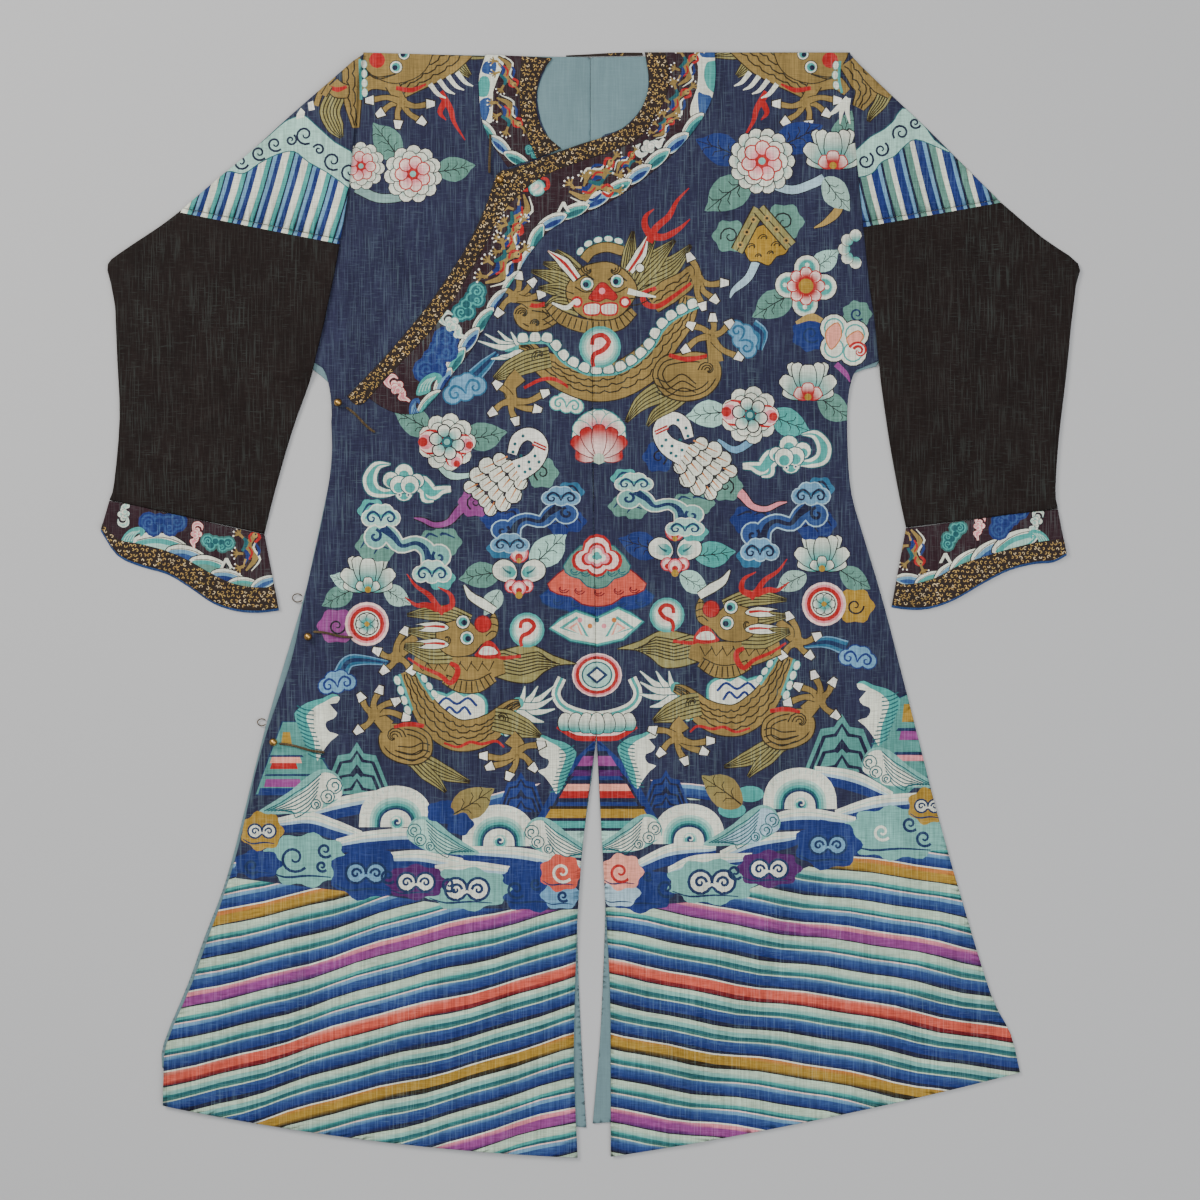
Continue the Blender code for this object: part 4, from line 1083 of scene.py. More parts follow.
def chestDragon(pen):
    spine = [(690, 296), (684, 318), (666, 340), (646, 364), (619, 380), (593, 384), (569, 378), (550, 367),
        (537, 358), (529, 347), (519, 345)]
    girth = [17, 21, 27, 35, 36, 34, 30, 27, 19, 11, 6]
    back = [(698, 301), (683, 308), (668, 317), (657, 329), (650, 342), (640, 353), (628, 362), (615, 368),
        (604, 369), (590, 369), (578, 364), (566, 357), (557, 346), (549, 338), (535, 337), (519, 338)]
    for tip in ((498, 331), (485, 334), (478, 341), (511, 332), (491, 359), (500, 356)):
        for width, dye in ((2, "tealDark"), (0, "cream")):
            stroke(pen, [(524, 346), ((524 + tip[0]) / 2, (346 + tip[1]) / 2 + 4), tip],
                [6 + width, 5 + width, 1 + width / 2], dye)
    stroke(pen, [(505, 351), (524, 346)], [2, 6], "teal")
    hair(pen, [(680, 384), (656, 394), (640, 404), (626, 422)], [20, 20, 14, 2], 4)
    hair(pen, [(690, 390), (672, 404), (656, 414), (647, 426)], [12, 13, 10, 2], 3)
    scaledBody(pen, spine, girth)
    haunch(pen, [(652, 376), (660, 358), (680, 352), (704, 352), (720, 362), (721, 380), (708, 396),
        (686, 402), (664, 396)], [(708, 370, 10)])
    for drop in (0, 7, 14):
        stroke(pen, [(656, 378 + drop), (668, 382 + drop), (682, 374 + drop), (696, 384 + drop * 0.6)], 1.3,
            "goldDark")
    fins(pen, back, 9, 12.2)
    stroke(pen, [(669, 355), (684, 359), (698, 358), (712, 354)], [4, 5, 3], "red")
    stroke(pen, [(524, 388), (540, 380), (553, 379), (564, 384), (568, 388)], [3, 4, 2], "red")
    hair(pen, [(550, 357), (528, 362), (510, 370), (494, 379)], [20, 22, 18, 4], 5)
    for r in (9, 6, 3):
        spiral(pen, 540, 356, r, "goldDark", 1.2, 0.7, 150, 1, 9)
    foot(pen, [(520, 375), (510, 386)], (512, 401),
        [(494, 411), (499, 386), (515, 419), (535, 409), (543, 394)], 10)
    foot(pen, [(716, 362), (714, 350)], (711, 336),
        [(693, 326), (687, 348), (713, 320), (728, 325), (737, 356)], 10)
    # Arms behind the head
    for tip, middle, width in (((691, 245), (668, 268), 26), ((675, 240), (652, 262), 26),
            ((655, 238), (642, 258), 20), ((633, 231), (630, 252), 16)):
        hair(pen, [(626, 284), middle, tip], [width, width * 0.8, 2], 5)
    scaledBody(pen, [(652, 304), (668, 292), (684, 282), (692, 272)], [20, 24, 20, 14], 4)
    foot(pen, [(690, 274), (694, 272)], (698, 280), [(691, 259), (722, 283), (713, 298), (702, 304)], 10)
    stroke(pen, [(691, 283), (674, 296), (658, 306), (646, 304), (643, 294), (656, 288)], [3, 5, 6, 4],
        "red")
    haunch(pen, [(556, 306), (540, 301), (524, 301), (514, 312), (516, 324), (528, 332), (546, 330),
        (560, 320)], [(523, 314, 8), (536, 324, 6)])
    stroke(pen, [(542, 310), (548, 316), (544, 320), (552, 326)], 1.2, "goldDark", 1)
    stroke(pen, [(526, 304), (536, 306), (545, 304)], 4.4, "red")
    foot(pen, [(532, 302), (524, 298)], (514, 297),
        [(519, 278), (531, 284), (539, 295), (500, 311), (503, 289)], 9.5)
    scallops(pen, [(584, 260), (592, 251), (607, 247), (623, 251)], -1, [9, 9], 9)
    goldPart(pen, [(584, 260), (592, 251), (607, 247), (623, 251)], [9, 9])
    # The head, front on, in plain drawing
    for path in ([(586, 284), (566, 262), (556, 250)], [(584, 286), (564, 270), (543, 263)],
            [(580, 290), (556, 278), (531, 271)], [(578, 298), (558, 290), (538, 288)],
            [(580, 306), (558, 302), (545, 306)]):
        hair(pen, path, [20, 15, 2], 4)
    jaw = [(548, 306), (562, 318), (580, 325), (600, 327), (620, 323), (634, 311)]
    goldPart(pen, jaw, [7, 12, 13, 13, 12, 8])
    for spot, along in zip(*stations(jaw, 6)[:2]):
        side = np.array([-along[1], along[0]])
        stroke(pen, [spot - side * 5.5, spot + side * 5.5], 1.2, "goldDark", 1)
    rimmed(pen, [(580, 268), (596, 262), (612, 262), (628, 272), (638, 288), (632, 304), (618, 318),
        (600, 321), (582, 317), (568, 303), (566, 286)], "goldDark", "gold", 1.2)
    for side in (-1, 1):
        for r in (9, 6, 3):
            spiral(pen, 601 + side * 12, 269, r, "goldDark", 1.3, 0.6, 210 if side < 0 else 330, side, 8)
        stroke(pen, [(601 + side * 7, 280), (601 + side * 16, 275), (601 + side * 26, 281)], 1.6,
            "goldDark")
        stroke(pen, [(601 + side * 8, 291), (601 + side * 17, 292), (601 + side * 26, 287)], 1.2,
            "goldDark")
        disc(pen, 601 + side * 24, 302, 6, "red", 10)
        disc(pen, 601 + side * 24, 302, 3.6, "palePink", 10)
    for y in (292, 299, 306):
        stroke(pen, [(628, y), (640, y - 2), (652, y - 8)], 1.2, "goldDark")
        stroke(pen, [(574, y + 2), (562, y - 2), (551, y - 4)], 1.2, "goldDark")
    eye(pen, 587, 284, 5.8)
    eye(pen, 617, 281, 5.8)
    rimmed(pen, [(588, 298), (594, 289), (599, 283), (602, 282), (606, 283), (612, 289), (618, 296),
        (614, 301), (606, 299), (600, 302), (593, 301)], "redDark", "red", 0.8)
    disc(pen, 602, 291, 3.4, "pink", 8)
    for x in (592, 609):
        rimmed(pen, [(x - 9, 305), (x, 302), (x + 9, 304), (x + 8, 314), (x, 316), (x - 8, 314)], "red",
            "cream", 1.8)
        for dx in (-5, -1.5, 2, 5.5):
            stroke(pen, [(x + dx, 304.5), (x + dx, 314)], 1.0, "pink", 1)
    stroke(pen, [(552, 303), (566, 308), (576, 300)], [2, 5, 3], "cream")
    stroke(pen, [(656, 297), (640, 294), (628, 291)], [1.5, 5, 6], "cream")
    ear(pen, [(548, 251), (564, 263), (577, 279)], 11)
    ear(pen, [(648, 235), (641, 253), (629, 271)], 11)
    disc(pen, 640, 268, 5, "goldDark", 10)
    disc(pen, 640, 268, 4, "cream", 10)
    flame(pen, [[(649, 242), (656, 228), (669, 216), (677, 201), (689, 188)],
        [(651, 236), (645, 226), (646, 216), (654, 209)], [(652, 236), (664, 237), (679, 229), (690, 219)]])


def sideDragon(pen):
    spine = [(787, 656), (781, 670), (771, 690), (757, 708), (738, 720), (718, 719), (702, 711), (692, 700),
        (682, 691), (674, 688)]
    girth = [16, 18, 24, 30, 31, 30, 26, 18, 12, 6]
    for tip in ((640, 671), (656, 671), (669, 671), (639, 694), (650, 707), (640, 682)):
        for width, dye in ((2, "tealDark"), (0, "cream")):
            stroke(pen, [(682, 690), ((682 + tip[0]) / 2 - 3, (690 + tip[1]) / 2 + 5), tip],
                [7 + width, 6 + width, 1 + width / 2], dye)
    disc(pen, 676, 688, 6, "teal", 10)
    hollow = [(712, 706), (708, 690), (712, 682), (722, 678), (730, 681), (738, 676), (747, 681),
        (756, 678), (766, 684), (768, 694), (756, 706), (738, 712)]
    for grow, dye in ((2.4, "tealDark"), (1.6, "teal"), (-1.0, "cream")):
        pen.lay(inset(curve(hollow, 2, True), -grow), dye)
    for y, wide in ((686, 20), (695, 14)):
        stroke(pen, [(737 - wide, y + 5), (737 - wide * 0.55, y - 3), (737, y + 3),
            (737 + wide * 0.55, y - 3), (737 + wide, y + 5)], 2.6, "royal")
    hair(pen, [(782, 742), (762, 752), (744, 760), (724, 767)], [18, 18, 13, 2], 4)
    hair(pen, [(780, 746), (768, 758), (758, 766), (748, 777)], [12, 13, 10, 2], 3)
    scaledBody(pen, spine, girth)
    haunch(pen, [(762, 722), (774, 712), (792, 708), (808, 710), (816, 722), (812, 738), (796, 748),
        (776, 750), (762, 740)], [(800, 722, 12)])
    for drop in (0, 7, 14):
        stroke(pen, [(764, 744 - drop), (772, 742 - drop), (782, 746 - drop), (796, 741 - drop * 0.7)], 1.3,
            "goldDark")
    scallops(pen, spine[:3], -1, girth[:3], 10)
    scallops(pen, spine[:3], 1, girth[:3], 9)
    scallops(pen, spine[6:9], -1, girth[6:9], 9)
    stroke(pen, [(770, 711), (786, 709), (800, 712)], [4, 5, 3], "red")
    stroke(pen, [(690, 732), (698, 726), (712, 729), (724, 727), (736, 732), (750, 728)], [2, 3, 3, 2],
        "red")
    hair(pen, [(700, 704), (686, 707), (668, 714), (653, 721)], [22, 24, 18, 3], 5)
    for r in (8, 5, 3):
        spiral(pen, 693, 703, r, "goldDark", 1.2, 0.7, 150, 1, 9)
    foot(pen, [(684, 722), (676, 730)], (678, 738),
        [(662, 751), (655, 730), (684, 759), (702, 751), (708, 741)], 10)
    foot(pen, [(806, 712), (814, 704)], (820, 699),
        [(790, 702), (800, 687), (815, 677), (832, 684), (834, 714)], 10)
    foot(pen, [(776, 625), (788, 632)], (798, 642), [(790, 618), (815, 637), (808, 654), (784, 654)], 10)
    # Beard, jaw and neck, then the head
    rimmed(pen, [(716, 640), (690, 634), (668, 629), (655, 632), (640, 640), (616, 649), (636, 651),
        (650, 658), (662, 668), (680, 668), (700, 662), (716, 656)], "goldDark", "olive", 1.2)
    for k in range(7):
        drop = 3.4 * (k - 3)
        stroke(pen, [(706, 648 + drop), (690, 646 + drop * 1.1), (674, 650 + drop), (656, 646 + drop * 0.9),
            (634 + 4 * abs(k - 3), 649 + drop * 0.4)], 1.3, "goldDark", 2)
    goldPart(pen, [(690, 650), (720, 655), (752, 652), (780, 646)], [16, 26, 26, 16])
    jaw = [(700, 662), (716, 671), (734, 671), (750, 664)]
    goldPart(pen, jaw, [9, 12, 12, 8])
    for spot, along in zip(*stations(jaw, 5.5)[:2]):
        side = np.array([-along[1], along[0]])
        stroke(pen, [spot - side * 5.5, spot + side * 5.5], 1.2, "goldDark", 1)
    for k in range(7):
        stroke(pen, [(700 + 11 * k, 646), (705 + 11 * k, 656), (712 + 11 * k, 648)], 1.2, "goldDark", 1)
    hair(pen, [(724, 606), (744, 599), (766, 598), (787, 600)], [12, 16, 13, 2], 4)
    hair(pen, [(742, 618), (762, 618), (786, 616)], [18, 16, 4], 4)
    hair(pen, [(742, 636), (764, 637), (790, 631)], [24, 22, 5], 5)
    rimmed(pen, [(700, 597), (695, 608), (698, 622), (712, 630), (722, 640), (742, 642), (756, 632),
        (758, 614), (744, 606), (728, 604), (716, 612), (706, 604)], "goldDark", "gold", 1.1)
    for y in (604, 611, 618):
        stroke(pen, [(696, y), (702, y - 2), (708, y + 3)], 1.2, "goldDark", 2)
    edgedStroke(pen, [(730, 570), (723, 581), (712, 588), (699, 596)], [1, 7, 9, 7], "goldDark", "cream", 2)
    disc(pen, 711, 609, 9, "redDark", 12)
    disc(pen, 711, 609, 8, "red", 12)
    for r in (8, 5):
        spiral(pen, 748, 624, r, "goldDark", 1.2, 0.8, 30, 1, 9)
    eye(pen, 731, 607, 6)
    eye(pen, 727, 623, 6)
    blob(pen, [(693, 640), (700, 628), (708, 626), (716, 636), (719, 641), (704, 644)], "red")
    blob(pen, [(696, 638), (702, 632), (711, 632), (715, 639), (704, 640)], "cream")
    for x in (700, 705, 710):
        stroke(pen, [(x, 632), (x + 1, 640)], 0.8, "pink", 1)
    for y in (612, 629):
        rimmed(pen, [(746, y - 2), (758, y - 6), (779, y - 3), (768, y), (777, y + 4), (760, y + 6),
            (746, y + 3)], "goldDark", "cream", 1, 2)
        stroke(pen, [(749, y), (760, y - 1), (770, y)], [3, 2, 1], "red", 2)
    stroke(pen, [(673, 641), (690, 643), (700, 641)], [3, 4, 2], "red")
    stroke(pen, [(786, 643), (772, 652), (754, 660), (744, 668), (737, 660), (737, 652), (744, 648)],
        [2, 4, 6, 4], "red")
    flame(pen, [[(750, 598), (757, 591), (765, 580), (778, 571), (787, 559)],
        [(752, 595), (742, 590), (744, 579), (756, 572)], [(756, 594), (768, 590), (778, 590), (789, 582)]],
        7)
    pearl(pen.at(667, 615, 17.5, 0, True))


# Water, rock and stripes

def waterBand(pen, path):
    path = curve(path, 5)
    taper = np.sin(np.linspace(0.12, 1, len(path)) * math.pi * 0.93) ** 0.4
    for top, bottom, dye in ((0, 8, "cream"), (8, 11.5, "paleSky"), (11.5, 21, "royal")):
        upper, lower = path.copy(), path.copy()
        upper[:, 1] += top * taper
        lower[:, 1] += bottom * taper
        pen.lay(np.concatenate([upper, lower[::-1]]), dye)
    stroke(pen, path + np.array([0, 4.2]), 0.7, "paleTeal", 1)


def dome(pen, height=1.12):
    angle = np.linspace(0, math.pi, 17)
    for size, dye in ((1.0, "cream"), (0.72, "paleTeal"), (0.65, "seaTeal"), (0.58, "teal"),
            (0.52, "tealDark"), (0.47, "inkBlue"), (0.42, "cream")):
        pen.lay(np.stack([size * np.cos(angle), -size * height * np.sin(angle) ** 0.72], axis=1), dye)
    for turn in np.arange(14, 172, 11):
        c, s = math.cos(math.radians(turn)), math.sin(math.radians(turn)) ** 0.72
        stroke(pen, [(0.95 * c, -0.95 * s * height), (0.86 * c, -0.86 * s * height)], 0.014, "paleTeal", 1)
    discs(pen, 0.03, -0.12, 1, ((0.2, "paleTeal"), (0.15, "teal"), (0.09, "inkBlue")), 10)
    spiral(pen, 0.03, -0.14, 0.14, "cream", 0.05, 0.8, 200, 1, 9)


def crest(pen, ink="tealDark"):
    inner = [(-0.3, -0.47), (-0.26, -0.38), (-0.15, -0.36), (-0.26, -0.23), (-0.2, -0.14), (-0.1, -0.1),
        (-0.09, -0.02), (-0.15, 0.06), (-0.28, 0.1), (-0.17, 0.19), (-0.04, 0.36), (0.04, 0.5)]
    outer = [(0.09, 0.42), (0.18, 0.21), (0.33, -0.13), (0.3, -0.25), (0.13, -0.37), (-0.04, -0.43),
        (-0.19, -0.5)]
    blob(pen, [(x + (0.05 if x > 0 else 0), y - 0.02) for x, y in outer] + inner, "teal", 2)
    blob(pen, [(0.06, 0.38), (0.1, 0.16), (0.2, -0.12), (0.18, -0.22), (0.06, -0.33), (-0.08, -0.4),
        (-0.2, -0.47)] + inner, "cream", 2)
    for k in range(12):
        y = -0.34 + 0.066 * k
        right = 0.35 - 0.34 * max(0, y + 0.1)
        stroke(pen, [(right - 0.26, y + 0.08), (right - 0.12, y + 0.06), (right, y)], 0.02, ink, 2)


def foam(pen, face="cream", back="seaTeal", ink="tealDark"):
    blob(pen, [(-0.02, 0.1), (0.1, -0.36), (0.44, -0.5), (0.8, -0.34), (1.2, 0.0), (1.6, 0.26), (2.0, 0.56),
        (1.2, 0.56), (0.6, 0.5)], back)
    blob(pen, [(0.0, 0.12), (0.12, -0.3), (0.4, -0.42), (0.6, -0.3), (0.9, 0.0), (1.3, 0.26), (1.6, 0.5),
        (0.9, 0.52), (0.5, 0.46), (0.42, 0.2), (0.24, 0.24)], face)
    for k in range(7):
        bend = 0.1 * k
        stroke(pen, [(0.5 + 0.02 * k, -0.38 + bend), (0.8, -0.12 + bend), (1.1, 0.06 + bend),
            (1.45 - 0.05 * k, 0.3 + bend * 0.4), (1.85 - 0.08 * k, 0.5)], 0.03, ink, 2)
    for x, y, r in ((0.18, -0.1, 0.17), (0.34, 0.16, 0.15), (0.62, 0.34, 0.1)):
        disc(pen, x, y, r + 0.03, ink, 10)
        disc(pen, x, y, r, face, 10)
        spiral(pen, x, y, r * 0.8, ink, 0.04, 1.1, 90, 1, 9)


def hill(pen, dye="rock", ink="inkBlue", bands=3, tall=1.0):
    shape = np.array([(-1, 0), (-0.56, -0.74), (-0.2, -0.78), (0, -1), (0.2, -0.78), (0.56, -0.74), (1, 0)],
        float)
    shape[:, 1] *= tall
    pen.lay(shape, dye)
    for k in range(bands):
        stroke(pen, shape * [0.84, 0.8] + [0, 0.27 * tall * k - 0.02], 0.1, ink, 1)
    pen.lay([(-0.22, -0.36 * tall), (0, -0.5 * tall), (0.22, -0.36 * tall), (0.12, -0.32 * tall),
        (0, -0.4 * tall), (-0.12, -0.32 * tall)], ink)


def slab(pen, x0, x1, y0, y1, dye, lean=0.0):
    pen.lay([(x0 + lean, y0), (x1 - lean, y0), (x1, y1), (x0, y1)], dye)


# One band of the striped deep water at the hem, shaded from its upper edge down
def stripe(pen, kind, y0, x0, x1, slope, thick=14.5, steps=20):
    xs = np.linspace(x0, x1, steps)
    line = y0 + slope * np.abs(xs - x0) + 2.2 * np.sin(xs / 38 + y0 / 70) + 1.0 * np.sin(xs / 15 + y0 / 29)
    shades = dict(
        teal=((0, 0.09, "dark", "dark"), (0.07, 0.36, "celadon", "celadon"),
            (0.36, 0.66, "celadon", "seaTeal"), (0.66, 0.88, "teal", "tealDark"),
            (0.86, 1.02, "tealDark", "leafDark")),
        blue=((0, 0.1, "palePink", "celadon"), (0.09, 0.36, "sky", "mid"), (0.35, 0.8, "mid", "royal"),
            (0.78, 1.02, "royal", "night")),
    )
    for accent in ("yellow", "magenta", "coral"):
        pale = dict(yellow="orange", magenta="pink", coral="paleCoral")[accent]
        deep = dict(yellow="goldDark", magenta="plum", coral="redDark")[accent]
        shades[accent] = ((0, 0.1, "cream", "cream"), (0.1, 0.4, pale, accent), (0.4, 0.74, accent, accent),
            (0.74, 1.02, accent, deep))
    lean = np.array([-slope * np.sign(x1 - x0), 1.0]) / math.hypot(slope, 1)
    for top, bottom, dye, toDye in shades[kind]:
        upper = np.stack([xs, line + top * thick], axis=1)
        lower = np.stack([xs, line + bottom * thick], axis=1)
        pen.lay(np.concatenate([upper, lower[::-1]]), dye, toDye=toDye,
            start=(xs[0], line[0] + top * thick),
            end=tuple(np.array([xs[0], line[0] + top * thick]) + lean * (bottom - top) * thick))


# The robe's drawing

robePen = Pen()
backPen = Pen()
sleevePen = Pen()
trimPen = Pen()

deepWater = dict(
    order=["teal", "blue", "teal", "blue"], accents=["coral", "yellow", "magenta"], pitch=14.5, groups=6,
    left=dict(near=586, far=150, slope=0.268, top=742),
    right=dict(near=601, far=1030, slope=0.163, top=742),
)


def drawDeepWater(pen):
    for side in (deepWater["left"], deepWater["right"]):
        for group in range(deepWater["groups"]):
            for k in range(2 if group == 0 else 0, 5):
                kind = deepWater["accents"][group % 3] if k == 0 else deepWater["order"][k - 1]
                stripe(pen, kind, side["top"] + (group * 5 + k) * deepWater["pitch"], side["near"],
                    side["far"], side["slope"], deepWater["pitch"])


seaBands = dict(
    left=[[(302, 811), (332, 799), (378, 790), (400, 790)],
        [(277, 818), (309, 812), (336, 820), (362, 831)],
        [(336, 839), (369, 831), (419, 828), (437, 838), (472, 851)],
        [(382, 853), (419, 850), (447, 855), (482, 862)], [(463, 846), (515, 847), (550, 853), (584, 862)],
        [(435, 865), (470, 861), (516, 867)]],
    right=[[(815, 766), (845, 769), (866, 776), (893, 792)],
        [(835, 810), (873, 797), (911, 793), (935, 793)], [(770, 815), (793, 809), (817, 809), (856, 817)],
        [(720, 851), (755, 835), (802, 831)], [(632, 863), (665, 846), (690, 842), (716, 844)],
        [(668, 867), (696, 855), (752, 853)]],
)
domes = table("x y size", (396, 827, 37), (499, 846, 37), (800, 809, 37), (689, 844, 36))
crests = table("x y size flip", (320, 728, 66, 1), (554, 765, 58, 0), (640, 760, 58, 1), (876, 714, 64, 0))
foams = table(
    "x y size flip dye",
    (342, 790, 42, 1, "cream"), (408, 834, 36, 0, "paleTeal"), (525, 836, 38, 0, "cream"),
    (661, 832, 36, 1, "cream"), (779, 824, 38, 1, "paleSky"), (863, 766, 38, 0, "cream"),
)
hills = table(
    "x y size tall dye bands",
    (357, 794, 34, 52, "rock", 3), (521, 812, 24, 40, "royal", 3), (666, 808, 24, 38, "royal", 3),
    (842, 772, 38, 58, "rock", 3),
)
rockSlabs = table(
    "x0 x1 y0 y1 dye",
    (268, 304, 755, 757, "inkBlue"), (270, 302, 757, 763, "paleCoral"), (270, 298, 763, 769, "red"),
    (264, 322, 774, 776, "inkBlue"), (264, 302, 779, 787, "magenta"), (258, 300, 788, 795, "royal"),
    (281, 292, 732, 745, "yellow"), (896, 930, 728, 731, "inkBlue"), (899, 930, 731, 740, "magenta"),
    (893, 934, 752, 755, "inkBlue"), (895, 934, 755, 761, "pink"), (902, 920, 704, 722, "yellow"),
)
seaClouds = table(
    "x y size wide dye fill lobes heart",
    (306, 860, 26, 1.6, "seaTeal", "seaTeal", 9, 0), (258, 864, 14, 1.7, "royal", "mid", 7, 0),
    (366, 873, 26, 1.35, "royal", "sky", 7, 0.84), (533, 887, 24, 1.6, "royal", "mid", 9, 0),
    (467, 889, 21, 2.0, "seaTeal", "cream", 9, 1.15), (416, 882, 17, 1.75, "plum", "cream", 8, 1.2),
    (262, 831, 19, 1.1, "yellow", "cream", 7, 0.8), (640, 890, 22, 1.6, "royal", "mid", 8, 0),
    (898, 833, 26, 2.1, "seaTeal", "cream", 11, 0), (828, 845, 24, 1.35, "royal", "sky", 7, 0.84),
    (712, 882, 22, 2.0, "seaTeal", "cream", 9, 1.15), (769, 869, 18, 1.75, "plum", "cream", 8, 1.15),
    (928, 806, 18, 1.1, "yellow", "cream", 7, 0.8), (561, 895, 14, 1.4, "sky", "sky", 6, 0),
    (561, 873, 18, 1.15, "coral", "coral", 7, 0), (620, 893, 14, 1.4, "paleSky", "sky", 6, 0),
    (622, 872, 18, 1.15, "paleCoral", "paleCoral", 7, 0),
)
seaCurls = table(
    "x y radius ink",
    (294, 858, 15, "inkBlue"), (325, 850, 8, "inkBlue"), (322, 866, 6, "inkBlue"), (388, 876, 8, "inkBlue"),
    (516, 889, 10, "inkBlue"), (536, 884, 6, "inkBlue"), (449, 884, 8, "inkBlue"), (562, 872, 11, "cream"),
    (563, 896, 6, "inkBlue"), (620, 872, 11, "red"), (666, 888, 10, "inkBlue"), (648, 876, 5, "inkBlue"),
    (882, 832, 9, "cream"), (910, 824, 8, "inkBlue"), (924, 838, 9, "inkBlue"), (735, 872, 8, "inkBlue"),
    (252, 866, 8, "inkBlue"),
)


def drawSea(pen):
    drawDeepWater(pen)
    # Everything above the stripes, up to the sea's own top line, is night-blue water
    pen.lay([(236, 878), (246, 850), (262, 790), (330, 800), (436, 806), (505, 808), (545, 780), (597, 742),
        (650, 780), (690, 800), (740, 800), (775, 770), (850, 762), (930, 690), (952, 846), (860, 846),
        (800, 870), (720, 900), (640, 906), (560, 910), (470, 908), (390, 896), (300, 886)], "navy")
    for ring in ([(283, 722), (296, 722), (318, 752), (332, 776), (346, 794), (256, 794), (270, 756)],
            [(896, 700), (930, 684), (946, 760), (900, 800), (862, 770), (880, 730)]):
        pen.lay(inset(ring, -1.5), "inkBlue")
        pen.lay(ring, "rock")
    for row in hills:
        hill(pen.on(row), row["dye"], "night", row["bands"], row["tall"] / row["size"])
    for row in rockSlabs:
        slab(pen, row["x0"], row["x1"], row["y0"], row["y1"], row["dye"], 2)
    # The mountain that the centre vent divides
    for size, dye in ((1.0, "royal"), (0.86, "night"), (0.8, "royal")):
        pen.lay([(597 - 62 * size, 822), (597 - 34 * size, 822 - 52 * size), (597, 822 - 84 * size),
            (597 + 34 * size, 822 - 52 * size), (597 + 62 * size, 822)], dye)
    for y0, y1, half, dye in ((751, 757, 13, "night"), (756, 768, 21, "magenta"), (766, 771, 24, "night"),
            (770, 776, 26, "plum"), (780, 784, 33, "night"), (784, 791, 34, "paleCoral"),
            (791, 798, 38, "red"), (798, 802, 40, "night"), (806, 809, 49, "goldDark"),
            (809, 818, 52, "yellow"), (818, 821, 53, "night"), (821, 828, 52, "teal"),
            (828, 831, 52, "night"), (831, 845, 48, "paleTeal")):
        slab(pen, 597 - half, 597 + half, y0, y1, dye, (y1 - y0) * 0.6)
    for x, y in ((448, 812), (463, 822)):
        disc(pen, x, y, 15, "royal", 12, 0.8)
    for x, y in ((750, 794), (732, 810)):
        disc(pen, x, y, 14, "teal", 14, 0.58)
    for row in crests:
        crest(pen.on(row))
    for path in seaBands["left"][:2] + seaBands["right"][:2]:
        waterBand(pen, path)
    for row in domes:
        dome(pen.on(row))
    for path in seaBands["left"][2:] + seaBands["right"][2:]:
        waterBand(pen, path)
    for row in foams:
        foam(pen.on(row), row["dye"])
    for row in seaClouds:
        part = pen.on(row)
        lobed(part, row["dye"], row["wide"], row["lobes"], 0.09, 1.0, row["lobes"] * 5)
        stroke(part, [(-0.9 * row["wide"], 0.42), (-0.5 * row["wide"], 0.66), (0.1, 0.6),
            (0.6 * row["wide"], 0.66)], [0.04, 0.1, 0.04], "inkBlue", 3)
        if row["heart"]:
            scroll(part.at(0, 0, row["heart"]), "inkBlue", row["fill"])
    for row in seaCurls:
        spiral(pen, row["x"], row["y"], row["radius"], row["ink"], 2.8, 1.3, 40)
    for x, y, turn in ((452, 815, -34), (742, 805, 214)):
        leaf(pen.at(x, y, 50, turn), "gold", "olive", "goldDark")
    for x, y in ((440, 812), (460, 824)):
        lobed(pen.at(x, y, 11), "royal", 1.2, 5, 0.1)


flowerKinds = dict(
    full=dict(rings=[(11, 1.0, 0.25), (9, 0.8, 0.24)], inner=7),
    round=dict(rings=[(14, 1.0, 0.22), (9, 0.78, 0.27)], inner=7),
    pinkLeft=dict(rings=[(9, 1.0, 0.3), (9, 0.76, 0.25)], inner=6,
        pinks=[(180, 1.0, 0.4), (8, 0.92, 0.32), (66, 0.94, 0.28)]),
    pinkRight=dict(rings=[(9, 1.0, 0.3), (9, 0.76, 0.25)], inner=6,
        pinks=[(188, 1.0, 0.42), (4, 0.96, 0.36)]),
)
flowers = table(
    "x y size turn kind",
    (413, 174, 29, 10, "full"), (762, 161, 33, 0, "round"), (447, 442, 29, 0, "pinkLeft"),
    (750, 415, 29, 0, "pinkRight"), (361, 166, 24, 40, "full"),
)
orchids = table("x y size", (519, 572, 27), (675, 550, 27))
lotuses = table(
    "x y radius bowl",
    (833, 152, 28, "pink"), (808, 384, 27, "pink"), (368, 577, 26, "teal"), (822, 556, 26, "teal"),
    (599, 436, 29, "round"),
)
leaves = table(
    "x y size turn dye",
    (400, 160, 46, -128, "leaf"), (436, 172, 40, -12, "leaf"), (742, 158, 50, 200, "royal"),
    (776, 148, 52, -28, "royal"), (750, 178, 56, 142, "leaf"), (824, 178, 42, 50, "paleLeaf"),
    (838, 148, 40, -72, "leaf"), (432, 432, 44, -152, "leaf"), (462, 440, 46, -12, "leaf"),
    (729, 412, 44, 172, "paleTeal"), (770, 414, 44, 22, "teal"), (812, 270, 34, -38, "paleTeal"),
    (792, 294, 46, 148, "leaf"), (818, 396, 42, 34, "leaf"), (500, 572, 42, 168, "leaf"),
    (532, 566, 48, -46, "paleTeal"), (660, 552, 44, 196, "royal"), (694, 556, 42, -8, "teal"),
    (680, 574, 34, 30, "paleTeal"), (352, 590, 34, 150, "leaf"), (384, 588, 32, 30, "paleLeaf"),
    (806, 574, 34, 150, "paleLeaf"), (840, 570, 36, 30, "leaf"), (356, 586, 28, 200, "paleTeal"),
    (500, 590, 30, 120, "paleLeaf"),
)
